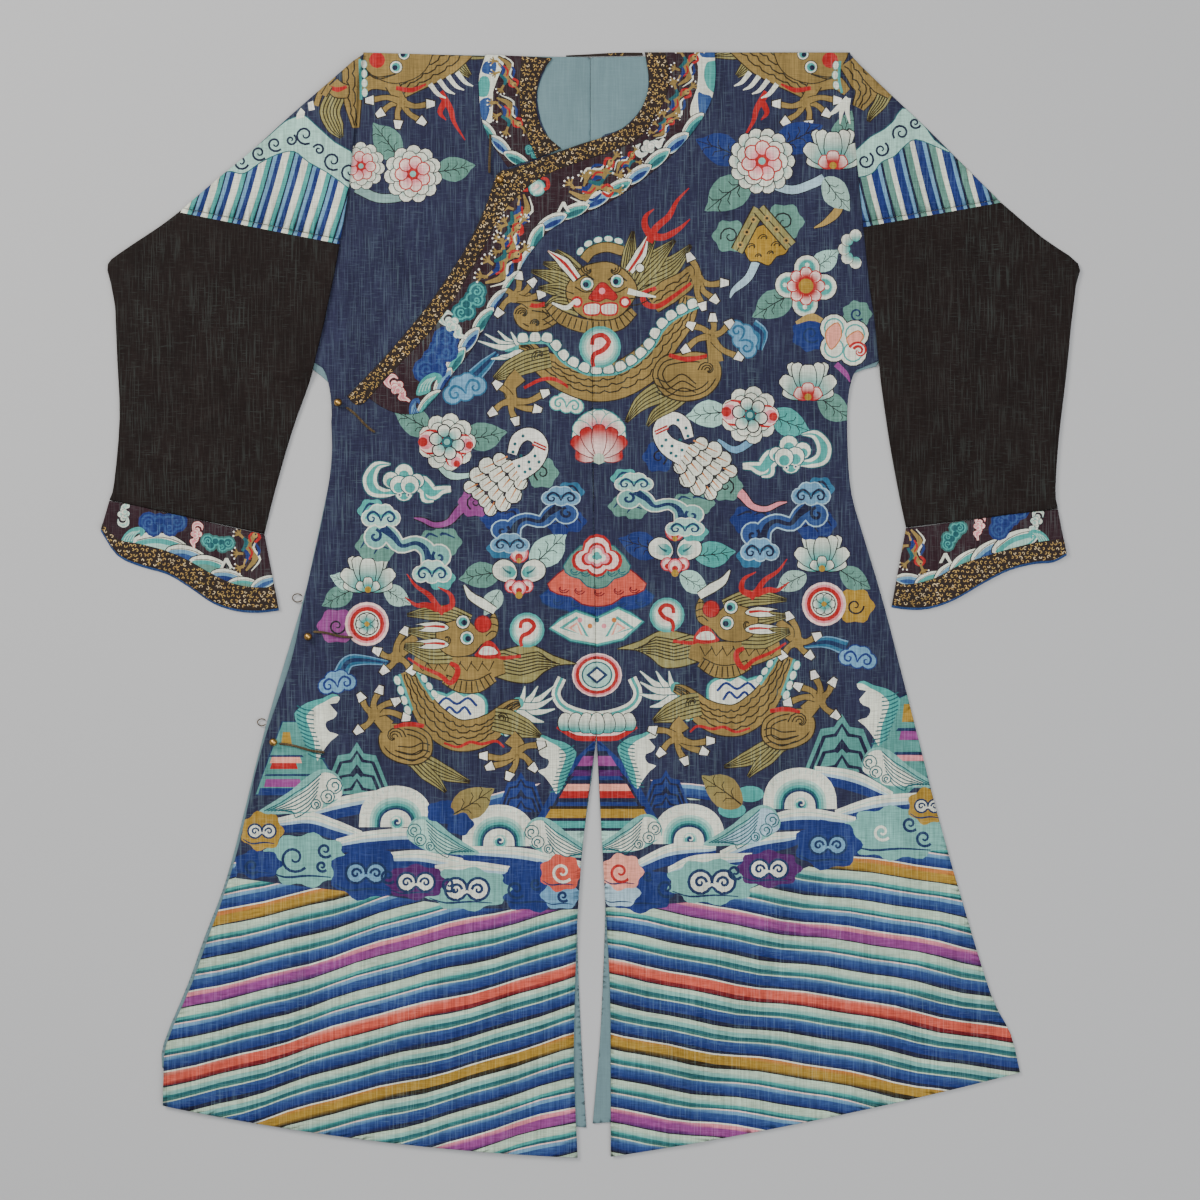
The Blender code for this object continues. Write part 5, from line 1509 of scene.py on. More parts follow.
stems = [
    dict(path=[(356, 188), (378, 198), (400, 197), (412, 190)], widths=[9, 8], dye="greyTeal"),
    dict(path=[(770, 184), (792, 190), (812, 184), (824, 178)], widths=[8, 9], dye="paleSky"),
    dict(path=[(838, 196), (838, 210), (826, 222), (814, 228)], widths=[9, 8, 1], dye="goldLight"),
    dict(path=[(438, 462), (452, 476), (478, 474)], widths=[8, 7, 3], dye="paleTeal"),
    dict(path=[(718, 440), (736, 450), (758, 436)], widths=[3, 7, 7], dye="sky"),
    dict(path=[(800, 258), (806, 270)], widths=[8, 7], dye="paleSky"),
    dict(path=[(756, 262), (748, 278), (734, 290), (730, 298)], widths=[8, 7, 1], dye="paleSky"),
]
twinClouds = table(
    "x y flip squash kind",
    (408, 543, 0, 1.0, "green"), (534, 519, 1, 0.84, "blue"), (661, 504, 0, 0.8, "green"),
    (784, 521, 1, 1.0, "blue"),
)
cloudKinds = dict(
    green=dict(pale="paleTeal", body="seaTeal", back="leaf", ink="inkBlue", light="cream", shade="teal",
        tint="teal"),
    blue=dict(pale="sky", body="mid", back="royal", ink="night", light="paleSky", shade="steel",
        tint="steel"),
)
singleHeads = table(
    "x y size turn body ink",
    (464, 388, 21, -20, "sky", "steel"), (567, 403, 16, 10, "cream", "teal"),
    (744, 338, 19, 60, "sky", "steel"), (337, 682, 18, -10, "sky", "royal"),
    (858, 657, 18, 10, "sky", "royal"),
)
cloudTails = [
    dict(path=[(474, 376), (486, 364), (497, 353)], light="steel", deep="inkBlue"),
    dict(path=[(340, 676), (348, 662), (364, 660), (388, 663)], light="steel", deep="inkBlue"),
    dict(path=[(846, 648), (826, 642), (803, 646)], light="steel", deep="inkBlue"),
    dict(path=[(752, 326), (762, 334), (760, 350)], light="steel", deep="inkBlue"),
]


def column(pen):
    for half, y0, drop, dye, line in ((57, 598, 26, "royal", "inkBlue"), (49, 586, 22, "coral", "redDark"),
            (33, 568, 22, "leaf", "tealDark")):
        ring = [(597, 548), (597 + half * 0.5, y0 - 22), (597 + half, y0 - 2),
            (597 + half * 0.8, y0 + drop * 0.34), (597 + half * 0.52, y0 + drop * 0.46),
            (597 + half * 0.3, y0 + drop * 0.8), (597, y0 + drop * 0.9),
            (597 - half * 0.3, y0 + drop * 0.8), (597 - half * 0.52, y0 + drop * 0.46),
            (597 - half * 0.8, y0 + drop * 0.34), (597 - half, y0 - 2), (597 - half * 0.5, y0 - 22)]
        ring = curve(ring, 2, True)
        pen.lay(inset(ring, -1.2), line)
        pen.lay(ring, dye)
        for x in (-0.72, -0.4, 0, 0.4, 0.72):
            for r in (8, 5):
                spiral(pen, 597 + half * x, y0 + drop * 0.2 * (1 - abs(x)), r, line, 1.1, 0.5, 20, 1, 7)
    for size, dye in ((1.0, "red"), (0.86, "palePink"), (0.62, "red"), (0.5, "pink"), (0.36, "cream"),
            (0.2, "teal")):
        part = pen.at(597, 556, 24 * size)
        for x, y, r in ((-0.6, 0.2, 0.46), (0.6, 0.2, 0.46), (0, -0.3, 0.62), (0, 0.42, 0.46)):
            disc(part, x, y, r, dye, 12)
    # Chime
    chime = np.array([(548, 629), (560, 617), (576, 609), (597, 616), (618, 606), (632, 612), (645, 622),
        (624, 641), (597, 647), (570, 642)], float)
    for depth, dye in ((0, "tealDark"), (1.2, "teal"), (3.4, "cream")):
        pen.lay(inset(chime, depth), dye)
    for side in (-1, 1):
        for size, dye in ((1.0, "teal"), (0.74, "cream"), (0.5, "paleCoral"), (0.3, "cream")):
            pen.lay([(597 + side * (20 + 18 * size), 628), (597 + side * 20, 628 - 12 * size),
                (597 + side * (20 - 12 * size), 634 + 3 * size)], dye)
    for x, y, dye in ((580, 620, "pink"), (590, 626, "orange"), (604, 626, "pink"), (614, 620, "orange"),
            (597, 620, "tealDark")):
        disc(pen, x, y, 2.6, dye, 8)
    # Jewel in its ribbon
    stroke(pen, [(562, 678), (556, 694), (566, 708), (597, 716), (628, 708), (638, 694), (632, 678)], 9,
        "cream", 3)
    stroke(pen, [(562, 678), (556, 694), (566, 708), (597, 716), (628, 708), (638, 694), (632, 678)], 3,
        "teal", 3)
    layers = ((1.0, "palePink"), (0.94, "pink"), (0.86, "red"), (0.72, "cream"), (0.62, "tealDark"),
        (0.56, "paleTeal"))
    discs(pen, 597, 675, 25, layers, 20, 0.88)
    pen.lay([(586, 675), (597, 666), (608, 675), (597, 684)], "inkBlue")
    pen.lay([(590, 675), (597, 669), (604, 675), (597, 681)], "cream")
    # Lotus seat
    for side in (-1, 1):
        stroke(pen, [(597, 738), (597 + side * 20, 736), (597 + side * 40, 727)], [6, 9, 3], "red", 3)
        stroke(pen, [(597, 735), (597 + side * 20, 733), (597 + side * 38, 725)], [2, 4, 1], "palePink", 3)
    for k in (-3, 3, -2, 2, -1, 1, 0):
        petal(pen.at(597 + k * 10.5, 712, 1), 90, 2, 22 - abs(k) * 1.2, 15, "cream", "teal", "dark", 0.8)


def canopyEmblem(pen):
    for x, y, size in ((730, 236, 16), (784, 222, 18)):
        lobed(pen.at(x, y, size), "leaf", 1.05, 6, 0.1)
        spiral(pen, x, y, size * 0.62, "dark", 1.6, 1.3, 160, 1, 14)
    rimmed(pen, [(743, 246), (750, 232), (764, 224), (779, 230), (790, 242), (786, 254), (777, 257),
        (769, 266), (758, 262), (749, 261)], "goldDark", "yellow", 1)
    for x, y, r in ((753, 248, 7), (765, 239, 7), (778, 246, 7), (760, 257, 5), (772, 254, 5)):
        for size in (1.0, 0.6):
            spiral(pen, x, y, r * size, "goldDark", 1.1, 0.55, 180, 1, 8)
    for end in ((737, 251), (791, 246)):
        for width, dye in ((14, "goldDark"), (11.5, "olive"), (1.2, "goldDark")):
            stroke(pen, [(759, 209), end], width, dye, 1)
        for share in (0.25, 0.55, 0.85):
            disc(pen, 759 + (end[0] - 759) * share, 209 + (end[1] - 209) * share, 3.4, "goldLight", 8)
            disc(pen, 759 + (end[0] - 759) * share, 209 + (end[1] - 209) * share, 1.6, "goldDark", 6)


def conch(pen, base, tail, cloudDye):
    path = [(-22, 27), (-36, 33), (-48, 46), (-62, 49), (-74, 44), (-83, 42)]
    edgedStroke(pen, path, [15, 9, 6, 5, 4, 1], "dark", tail, 2.4)
    for x, y, size, dye in ((-22, 26, 15, base), (45, -3, 15, cloudDye)):
        lobed(pen.at(x, y, size), dye, 1.05, 6, 0.1)
        spiral(pen, x, y, size * 0.58, "dark", 1.7, 1.3, 120, 1, 13)
    for k, wide in enumerate((23, 29, 30, 24)):
        part = pen.at(-13 + 10 * k, 19 - 9 * k, 1, -42)
        for grow, dye in ((1.3, "dark"), (0, "cream")):
            for j in (-1.5, -0.5, 0.5, 1.5):
                disc(part, -3 - 0.9 * j * j, j * wide * 0.44, wide * 0.27 + grow, dye, 10)
        for j in (-1.5, -0.5, 0.5, 1.5):
            stroke(part, [(-8 - 0.9 * j * j, j * wide * 0.46), (3, j * wide * 0.36)], [0.6, 1.8], "orange",
                1)
            stroke(part, [(-7, (j + 0.5) * wide * 0.44), (4, (j + 0.5) * wide * 0.36)], 0.9, "goldDark", 1)
    spout = [(20, -5), (36, -14), (44, -27), (40, -38), (30, -42), (20, -36), (15, -22)]
    edgedStroke(pen, spout, [22, 18, 14, 13, 12, 12, 9], "dark", "white", 2.2)
    for x, y in ((22, -10), (28, -4), (32, -14), (38, -20), (42, -14), (26, -40), (18, -32), (16, -24),
            (24, -20), (33, -7)):
        disc(pen, x, y, 1.8, "tealDark", 6)
    stroke(pen, [(36, -33), (49, -27)], 4.6, "red", 1)
    stroke(pen, [(36, -33), (49, -27)], 1.4, "palePink", 1)


def emblems(pen):
    for x, y, extra, dye in ((367, 624, 337, "magenta"), (824, 604, 855, "yellow")):
        lobed(pen.at(extra, y + 2, 17), dye, 1.1, 6)
        spiral(pen, extra, y + 2, 9, "dark", 1.8, 1.3)
        roundel(pen.at(x, y, 22))
    for x, y, size, dye in ((811, 334, 17, "royal"), (857, 314, 13, "leaf")):
        lobed(pen.at(x, y, size), dye, 1.1, 7)
        spiral(pen, x, y, size * 0.55, "inkBlue", 1.9, 1.3, 40)
    stroke(pen, [(796, 323), (812, 317), (829, 325)], [3, 8, 3], "goldLight")
    for r, dye in ((14.6, "dark"), (13.6, "cream"), (10.2, "teal"), (8.6, "cream")):
        for x, y in ((834, 328), (855, 334), (834, 348), (853, 352)):
            disc(pen, x, y, r, dye, 14)
    for ring in ([(826, 330), (838, 322), (842, 336), (832, 350), (826, 342)],
            [(846, 338), (858, 330), (864, 338), (852, 348)]):
        rimmed(pen, ring, "orange", "paleCoral", 1.2)
    for r in (9.5, 6):
        spiral(pen, 859, 351, r, "red", 3.4, 1.0, 200)
    spiral(pen, 859, 351, 8, "palePink", 1.4, 1.0, 200)
    stroke(pen, [(836, 364), (846, 374), (850, 382)], [6, 5, 1], "magenta")
    petalPart = pen.at(858, 249, 20)
    for k in range(5):
        lobe(petalPart, 100 + 40 * k, 1.0, 0.3)


# The lower half of the head that the shoulder fold cuts, mirrored on the other side
def shoulderDragon(pen):
    hair(pen, [(428, 44), (452, 60), (470, 76)], [26, 20, 4], 4)
    hair(pen, [(440, 40), (470, 52), (492, 56)], [18, 14, 3], 3)
    scaledBody(pen, [(470, 40), (446, 62), (420, 78), (400, 92)], [26, 26, 22, 14], 4)
    goldPart(pen, [(360, 92), (372, 82), (392, 84)], [8, 14, 14])
    foot(pen, [(392, 84), (396, 92)], (402, 102),
        [(382, 112), (372, 100), (398, 122), (420, 120), (428, 104)], 9)
    rimmed(pen, [(360, 40), (364, 66), (376, 78), (396, 84), (420, 76), (432, 58), (428, 40)], "goldDark",
        "gold", 1)
    disc(pen, 377, 60, 8, "red", 12)
    for side in (-1, 1):
        stroke(pen, [(366, 72), (378, 78 + side), (396, 74)], 1.2, "goldDark")
    eye(pen, 396, 67, 5.5)
    eye(pen, 404, 54, 5)
    stroke(pen, [(396, 88), (412, 90), (426, 84)], [4, 5, 2], "red")
    flame(pen, [[(440, 92), (450, 108), (454, 122), (465, 140)], [(446, 100), (440, 112), (446, 120)]], 7)
    for k in range(4):
        stroke(pen, [(430 + 9 * k, 84 - 4 * k), (438 + 9 * k, 94 - 4 * k), (446 + 9 * k, 98 - 4 * k)],
            [5, 4, 1], "cream")


# Twice the x of the line that each pair of motifs is mirrored about
mirrorSum = dict(shoulders=1207, skirt=1194)


def drawRobe(pen):
    drawSea(pen)
    shoulderDragon(pen)
    shoulderDragon(pen.at(mirrorSum["shoulders"], 0, 1, 0, True))
    for row in stems:
        stroke(pen, row["path"], [w + 1.6 for w in row["widths"]], "dark")
        stroke(pen, row["path"], row["widths"], row["dye"])
    for row in leaves:
        leaf(pen.on(row), row["dye"])
    for row in flowers:
        flower(pen.on(row), **flowerKinds[row["kind"]])
    for row in orchids:
        orchid(pen.on(row))
    quatrefoil(pen.at(806, 286, 31))
    for row in lotuses:
        lotus(pen.at(row["x"], row["y"], row["radius"], 0, squash=-1), row["bowl"])
    for row in cloudTails:
        for width, dye in ((15, "sky"), (12, row["light"]), (5, row["deep"])):
            stroke(pen, row["path"], [width, width * 0.8, width * 0.3], dye)
    for row in singleHeads:
        head(pen.on(row), row["body"], row["ink"])
    for row in twinClouds:
        twinCloud(pen.on(row), **cloudKinds[row["kind"]])
    bat(pen.at(404, 484))
    bat(pen.at(790, 456, 1.02, -6, True))
    canopyEmblem(pen)
    emblems(pen)
    conch(pen.at(497, 476), "magenta", "magenta", "leaf")
    conch(pen.at(704, 460, 1, 0, True), "leaf", "pink", "royal")
    column(pen)
    chestDragon(pen)
    sideDragon(pen)
    sideDragon(pen.at(mirrorSum["skirt"], 15, 1, 0, True))
    pearl(pen.at(600, 347, 21))


def drawBack(pen):
    drawSea(pen)
    chestDragon(pen)
    sideDragon(pen)
    sideDragon(pen.at(mirrorSum["skirt"], 0, 1, 0, True))
    pearl(pen.at(600, 347, 21))


# Upper sleeves: upright stripes under a band of curling water, and the ends of the shoulder dragons

sleeveStripes = dict(
    left=dict(first=182.0, count=9, pitch=20.1, slope=0.2, level=206.5, lean=0.27, foot=6,
        line=[(180, 190), (230, 166), (250, 156), (270, 147), (290, 136), (303, 134), (318, 146),
        (335, 158), (352, 172), (372, 180)],
        parts=[(0, 0.33, "cream"), (0.33, 0.54, "teal"), (0.54, 0.61, "night"), (0.61, 0.79, "sky"),
        (0.79, 1.0, "royal")]),
    right=dict(first=858.1, count=7, pitch=24.3, slope=-0.18, level=222.0, lean=-0.23, foot=6,
        line=[(846, 168), (858, 163), (873, 155), (888, 143), (903, 131), (918, 133), (931, 141),
        (950, 153), (1010, 192)], parts=[(0, 0.3, "royal"), (0.3, 0.45, "sky"), (0.45, 0.55, "night"),
        (0.55, 0.8, "leaf"), (0.8, 1.0, "cream")]),
)
sleeveWaves = [
    dict(ring=[(226, 170), (247, 154), (267, 138), (284, 123), (294, 118), (304, 116), (317, 127),
        (335, 143), (356, 158), (356, 190), (340, 181), (327, 172), (309, 162), (294, 151), (277, 154),
        (259, 163), (244, 173), (232, 171)],
        curls=[(305, 135, 10, 60), (291, 140, 6, 300), (275, 144, 8, 40), (259, 153, 8, 40),
        (241, 162, 8, 20), (319, 150, 6, 200), (333, 161, 10, 60), (350, 172, 10, 60)]),
    dict(ring=[(846, 158), (858, 149), (870, 138), (884, 130), (894, 121), (898, 114), (906, 109),
        (924, 126), (934, 140), (950, 152), (938, 147), (916, 139), (904, 146), (894, 156), (881, 162),
        (872, 173), (858, 177), (846, 174)],
        curls=[(865, 161, 9, 300), (881, 150, 8, 300), (901, 133, 9, 140), (915, 123, 6, 20)]),
]


def drawSleeves(pen):
    for side in sleeveStripes.values():
        lineX, lineY = np.array(side["line"], float).T
        for k in range(side["count"]):
            for near, far, dye in side["parts"]:
                ends = []
                for share in (near, far):
                    x = side["first"] + (k + share) * side["pitch"]
                    y = side["level"] + side["slope"] * (x - side["first"]) + side["foot"]
                    top = np.interp(x + side["lean"] * 60, lineX, lineY)
                    ends.append([(x - side["lean"] * side["foot"], y),
                        (x + side["lean"] * (y - top) * 0.5, (y + top) / 2),
                        (x + side["lean"] * (y - top), top)])
                pen.lay(ends[0] + ends[1][::-1], dye)
    for wave in sleeveWaves:
        ring = curve(wave["ring"], 3, True)
        pen.lay(inset(ring, -1), "tealDark")
        pen.lay(ring, "paleTeal")
        for x, y, r, turn in wave["curls"]:
            spiral(pen, x, y, r, "night", 2.2, 1.35, turn, 1, 18)
    edgeDragons(pen)


def edgeDragons(pen):
    hair(pen, [(336, 96), (330, 112), (336, 128), (342, 138)], [18, 20, 16, 3], 5)
    scaledBody(pen, [(351, 56), (352, 80), (353, 104), (356, 128)], [18, 18, 16, 6], 3)
    scallops(pen, [(351, 60), (352, 80), (353, 100)], -1, [18, 16], 9)
    goldPart(pen, [(332, 84), (338, 90), (348, 92)], [14, 16, 12])
    stroke(pen, [(328, 87), (338, 90), (347, 87)], [3, 5, 3], "red")
    for path in ([(334, 76), (322, 90), (316, 106)], [(330, 86), (324, 96)]):
        goldPart(pen, path, [5, 5])
    pen.lay([(308, 103), (313, 101), (315, 110), (309, 111)], "white")
    pen.lay([(297, 114), (301, 108), (305, 112), (304, 118), (296, 119)], "cream")
    scaledBody(pen, [(850, 60), (862, 78), (866, 92), (858, 108)], [24, 26, 22, 12], 4)
    hair(pen, [(886, 92), (880, 104), (872, 114), (868, 122)], [14, 12, 8, 2], 4)
    goldPart(pen, [(868, 74), (880, 86), (890, 96)], [14, 16, 6])
    scallops(pen, [(848, 62), (846, 78), (848, 92)], 1, [16, 12], 9)
    for tip in ((828, 116), (840, 124), (850, 124)):
        stroke(pen, [(848, 98), ((848 + tip[0]) / 2 - 2, 110), tip], [6, 5, 1], "cream")


# Collar and cuffs

# One stroke of the rainbow edge: white on the inner side, dyed on the outer
def almond(pen, dye, deep):
    ring = curve([(-0.62, 0.12), (-0.34, -0.16), (0.06, -0.24), (0.4, -0.2), (0.64, -0.06), (0.3, 0.2),
        (-0.2, 0.26)], 3, True)
    pen.lay(inset(ring, -0.03), "dark")
    pen.lay(ring, "cream")
    blob(pen, [(-0.54, 0.13), (-0.2, -0.06), (0.14, -0.12), (0.58, -0.06), (0.26, 0.18), (-0.18, 0.24)],
        dye)
    blob(pen, [(-0.36, 0.15), (-0.1, 0.03), (0.2, 0.0), (0.44, 0.02), (0.2, 0.15), (-0.14, 0.21)], deep)
    stroke(pen, [(-0.5, 0.06), (-0.16, -0.1), (0.2, -0.16), (0.5, -0.12)], 0.018, "dark", 2)


# A small cloud of two curled heads in outline on a deep ground
def lineCloud(pen, deep, light, back):
    spots = ((-0.75, 0.3, 0.42), (-0.35, 0.5, 0.34), (-0.2, 0.05, 0.32), (0.25, -0.1, 0.34),
        (0.72, -0.3, 0.44), (0.5, 0.15, 0.34))
    for grow, dye in ((0.16, back), (0.03, light), (-0.09, deep)):
        for x, y, r in spots:
            disc(pen, x, y, r + grow, dye, 10)
    for x, y, r, turn, hand in ((-0.7, 0.32, 0.26, 120, 1), (0.7, -0.3, 0.28, 300, 1),
            (0.42, 0.14, 0.18, 90, -1)):
        spiral(pen, x, y, r, light, 0.1, 1.2, turn, hand, 12)


def waveCurl(pen, dye, light):
    blob(pen, [(-0.9, 0.55), (-0.55, -0.1), (0, -0.45), (0.6, -0.5), (0.95, -0.2), (0.8, 0.12), (0.55, 0.2),
        (0.6, -0.05), (0.3, 0.02), (0.1, 0.25), (-0.1, 0.6)], dye)
    for k in range(4):
        stroke(pen, [(-0.7 + 0.2 * k, 0.42), (-0.4 + 0.2 * k, 0.0), (0.1 + 0.16 * k, -0.24)], 0.07, light,
            2)


# A finger-long dragon, worked in gold with blue, green and red locks
def smallDragon(pen):
    for path, widths, dye in (([(-22, 9), (-8, -3), (6, 4), (18, -5)], [3, 9, 10, 6], "dark"),
            ([(-21, 9), (-8, -3), (6, 4), (17, -5)], [2, 7, 8, 4], "gold"),
            ([(-13, 10), (-4, 5), (5, 10)], [3, 5, 2], "royal"),
            ([(1, 11), (10, 5), (17, 9)], [3, 5, 2], "tealDark"),
            ([(-22, 3), (-10, -8), (4, -2), (15, -11)], [1, 2.4, 2.4, 1], "cream"),
            ([(-6, -6), (0, -8), (8, -5)], [2, 3.5, 2], "royal"),
            ([(9, -4), (14, -10), (20, -6), (17, 1), (10, 0)], [2.5, 3.5, 3, 2.5, 2], "red"),
            ([(-9, 4), (-2, 0), (5, 3)], [2, 2.5, 1.5], "red"),
            ([(-18, 12), (-8, 8)], [1, 2.5], "goldLight")):
        stroke(pen, path, widths, dye, 3)
    for x, y, turn in ((-17, 15, 110), (-1, 16, 80), (20, 12, 40), (25, -9, -30)):
        claw = pen.at(x, y, 1, turn)
        stroke(claw, [(-6, 0), (1, 0)], [2.6, 3.4], "gold", 1)
        for k in (-60, -20, 20, 60):
            tip = (6 * math.cos(math.radians(k)), 6 * math.sin(math.radians(k)))
            stroke(claw, [(0, 0), tip], [2.0, 1.5], "gold", 1)
            disc(claw, tip[0] * 1.16, tip[1] * 1.16, 1.15, "white", 6)
    disc(pen, 17, -5, 3.2, "goldLight", 8)
    disc(pen, 18, -6, 1.1, "night", 6)


# Gold scrolls of the brocade, packed close and each turned its own way
def curls(pen, ring, seed, pitch=4.6):
    ring = np.asarray(ring, float)
    low, high = ring.min(axis=0), ring.max(axis=0)
    dice = np.random.default_rng(seed)
    for row, y in enumerate(np.arange(low[1], high[1], pitch)):
        for x in np.arange(low[0] + (row % 2) * pitch / 2, high[0], pitch):
            spot = np.array([x, y]) + dice.uniform(-0.9, 0.9, 2)
            turn, hand, size = dice.uniform(0, 360), dice.choice((-1, 1)), dice.uniform(1.7, 2.5)
            if not isInside(spot[None], ring)[0]:
                continue
            dye = ("brocadeGold", "brocadePale", "goldLight", "brocadeGold")[int(dice.integers(4))]
            spiral(pen, spot[0], spot[1], size, dye, 0.85, 0.75, turn, hand, 6)


def toPixels(points):
    points = np.asarray(points, float)
    return np.stack([points[:, 0] / photo["pixel"] + photo["centreX"],
        photo["centreY"] - points[:, 1] / photo["pixel"]], axis=1)


collarStrokes = [
    dict(path=[(699, 116), (688, 131), (668, 149), (640, 172), (612, 191), (588, 204), (560, 217),
        (541, 229), (531, 250), (522, 270), (508, 288), (492, 308), (476, 330), (462, 350), (448, 372),
        (437, 392), (424, 408)], spacing=24.5, inner=1),
    dict(path=[(480, 122), (497, 141), (513, 156), (530, 165)], spacing=21, inner=-1),
]
cuffStrokes = table(
    "x y size turn dye deep",
    (159, 543, 44, 14, "teal", "paleTeal"), (187, 554, 34, 22, "sky", "mid"),
    (211, 565, 35, 24, "teal", "leaf"), (228, 576, 28, 20, "sky", "royal"),
    (243, 583, 25, 10, "teal", "leaf"), (264, 582, 23, -14, "sky", "mid"), (909, 579, 24, 12, "sky", "mid"),
    (930, 578, 26, -10, "teal", "leaf"), (949, 570, 28, -24, "sky", "royal"),
    (966, 560, 32, -26, "teal", "leaf"), (989, 550, 34, -22, "sky", "mid"),
    (1016, 541, 42, -14, "teal", "paleTeal"),
)
smallClouds = table(
    "x y size turn deep light back",
    (218, 542, 13, 30, "tealDark", "teal", "leafDark"), (163, 522, 18, 22, "royal", "mid", "royal"),
    (469, 302, 17, -30, "tealDark", "teal", "tealDark"), (436, 355, 23, -35, "royal", "mid", "royal"),
    (954, 536, 13, 150, "tealDark", "teal", "leafDark"), (1009, 520, 18, 158, "royal", "mid", "royal"),
    (533, 152, 7, 60, "tealDark", "teal", "tealDark"),
)
smallBats = table(
    "x y size turn body wing ink",
    (124, 514, 15, -95, "paleTeal", "cream", "tealDark"), (196, 534, 14, 92, "pink", "palePink", "red"),
    (649, 147, 17, -35, "cream", "white", "greyTeal"), (452, 325, 19, 38, "paleTeal", "cream", "greyTeal"),
    (397, 388, 18, 40, "pink", "palePink", "red"), (979, 526, 14, 88, "pink", "palePink", "red"),
    (1036, 521, 15, 95, "paleTeal", "cream", "tealDark"),
)
smallDragons = table(
    "x y size turn flip",
    (508, 72, 0.78, 80, 0), (510, 112, 0.85, 70, 0), (688, 70, 0.8, 100, 1), (678, 104, 0.85, 110, 1),
    (664, 128, 0.6, 120, 1), (598, 172, 0.9, -22, 0), (592, 192, 1.0, 158, 1), (625, 162, 0.6, -30, 0),
    (521, 216, 0.95, 120, 0), (512, 240, 0.85, 100, 1), (504, 268, 1.05, 118, 1), (917, 548, 0.85, 95, 0),
    (252, 551, 0.9, 84, 1),
)


def drawTrim(pen):
    for ring, blocks in (([(487, 54), (505, 55), (500, 73), (493, 92), (492, 122), (480, 122), (478, 100),
            (477, 76), (482, 60)],
            [("mid", [(485, 62), (496, 62), (494, 74), (482, 72)]),
            ("teal", [(480, 78), (488, 77), (490, 86), (487, 96), (478, 95)]),
            ("mid", [(480, 101), (491, 99), (487, 119), (482, 119)])]),
            ([(694, 48), (718, 48), (718, 84), (712, 102), (703, 120), (691, 118), (691, 104), (697, 88),
            (698, 66)], [("mid", [(701, 50), (718, 50), (718, 57), (702, 57)]),
            ("teal", [(712, 61), (718, 64), (718, 92), (708, 88), (704, 76), (706, 64)]),
            ("mid", [(698, 93), (703, 94), (712, 98), (704, 115), (699, 112)])])):
        pen.lay(curve(ring, 2, True), "cream")
        for dye, block in blocks:
            blob(pen, block, dye, 3)
    for border in collarStrokes:
        for k, (spot, along) in enumerate(zip(*stations(border["path"], border["spacing"])[:2])):
            turn = math.degrees(math.atan2(along[1], along[0]))
            dye, deep = (("teal", "tealDark"), ("sky", "royal"))[k % 2]
            almond(pen.at(spot[0], spot[1], border["spacing"] * 1.12, turn - 6 * border["inner"], False,
                -border["inner"]), dye, deep)
    for row in cuffStrokes:
        almond(pen.on(row), row["dye"], row["deep"])
    for row in smallClouds:
        lineCloud(pen.on(row), row["deep"], row["light"], row["back"])
    for row in smallBats:
        bat(pen.at(row["x"], row["y"], row["size"] / 46, row["turn"]), row["body"], row["wing"], row["ink"])
    for row in smallDragons:
        smallDragon(pen.on(row))
    for x, y, size, turn, flip, dye in ((132, 535, 14, -8, False, "teal"),
            (428, 383, 16, -16, False, "teal"), (1040, 537, 13, 8, True, "teal"),
            (414, 409, 12, -58, False, "mid")):
        waveCurl(pen.at(x, y, size, turn, flip), dye, "paleTeal" if dye == "teal" else "sky")
    pearl(pen.at(537, 188, 8.5), "paleTeal")
    stroke(pen, [(541, 178), (547, 180), (548, 187), (544, 190)], [2.5, 4, 3], "red")
    stroke(pen, [(528, 190), (520, 191)], [4, 1], "red")
    for x, y in ((563, 207), (226, 563), (945, 558)):
        pen.lay([(x - 6, y + 5), (x - 1, y - 5), (x + 2, y - 5), (x + 7, y + 5)], "cream")
        pen.lay([(x - 3, y + 5), (x, y - 1), (x + 4, y + 5)], "dark")


drawRobe(robePen)
edgeDragons(robePen)
drawBack(backPen)
drawSleeves(sleevePen)
drawTrim(trimPen)
print("drawn", len(robePen.shapes), len(backPen.shapes), len(sleevePen.shapes), len(trimPen.shapes),
    flush=True)

# Pieces


def sheetArea(ring):
    after = np.roll(ring, -1, axis=0)
    return abs((ring[:, 0] * after[:, 1] - ring[:, 1] * after[:, 0]).sum()) / 2e6


# The least width, in metres, that the frame takes for a sheet
leastWidth = 0.0101


# The node is hidden, as the piece takes its place. Its cut is its own outline, flat, and is printed: a tube
# is measured all round, and a strip along itself
def declare(node, ring, isStrip=False, isTube=False):
    width, length = np.ptp(ring, axis=0) / 1000
    area = sheetArea(ring)
    if isTube:
        width, area = 2 * width, 2 * area
    if isStrip:
        half = np.linalg.norm(ring - np.roll(ring, 1, axis=0), axis=1).sum() / 2000
        length = (half + math.sqrt(half * half - 4 * area)) / 2
        width = max(area / length, leastWidth)
    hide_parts(node)
    print("flat", node, round(float(width), 3), round(float(length), 3), round(float(area), 4), flush=True)


frontPieces = dict(
    frontLeft=dict(rows=frontLeftRows, node="front_left", rests=["back_left"]),
    frontOverlap=dict(rows=frontOverlapRows, node="front_overlap", rests=["front_under"]),
    frontUnder=dict(rows=frontUnderRows, node="front_under", rests=["back_right"]),
)
for name, settings in frontPieces.items():
    ring = outlineOf(settings["rows"])
    piece = cutCloth(
        name, ring, robePen, "navy",
        lambda x, y, name=name: frontTop(name, x, y),
        lambda x, y, name=name: frontLevel(name, x, y) + np.minimum(creaseHeight(name, x, y), 0),
        (tapestrySilk, giltThread), liningSilk, edge=0.8, extra=creasePoints(name),
    )
    declare(settings["node"], ring)

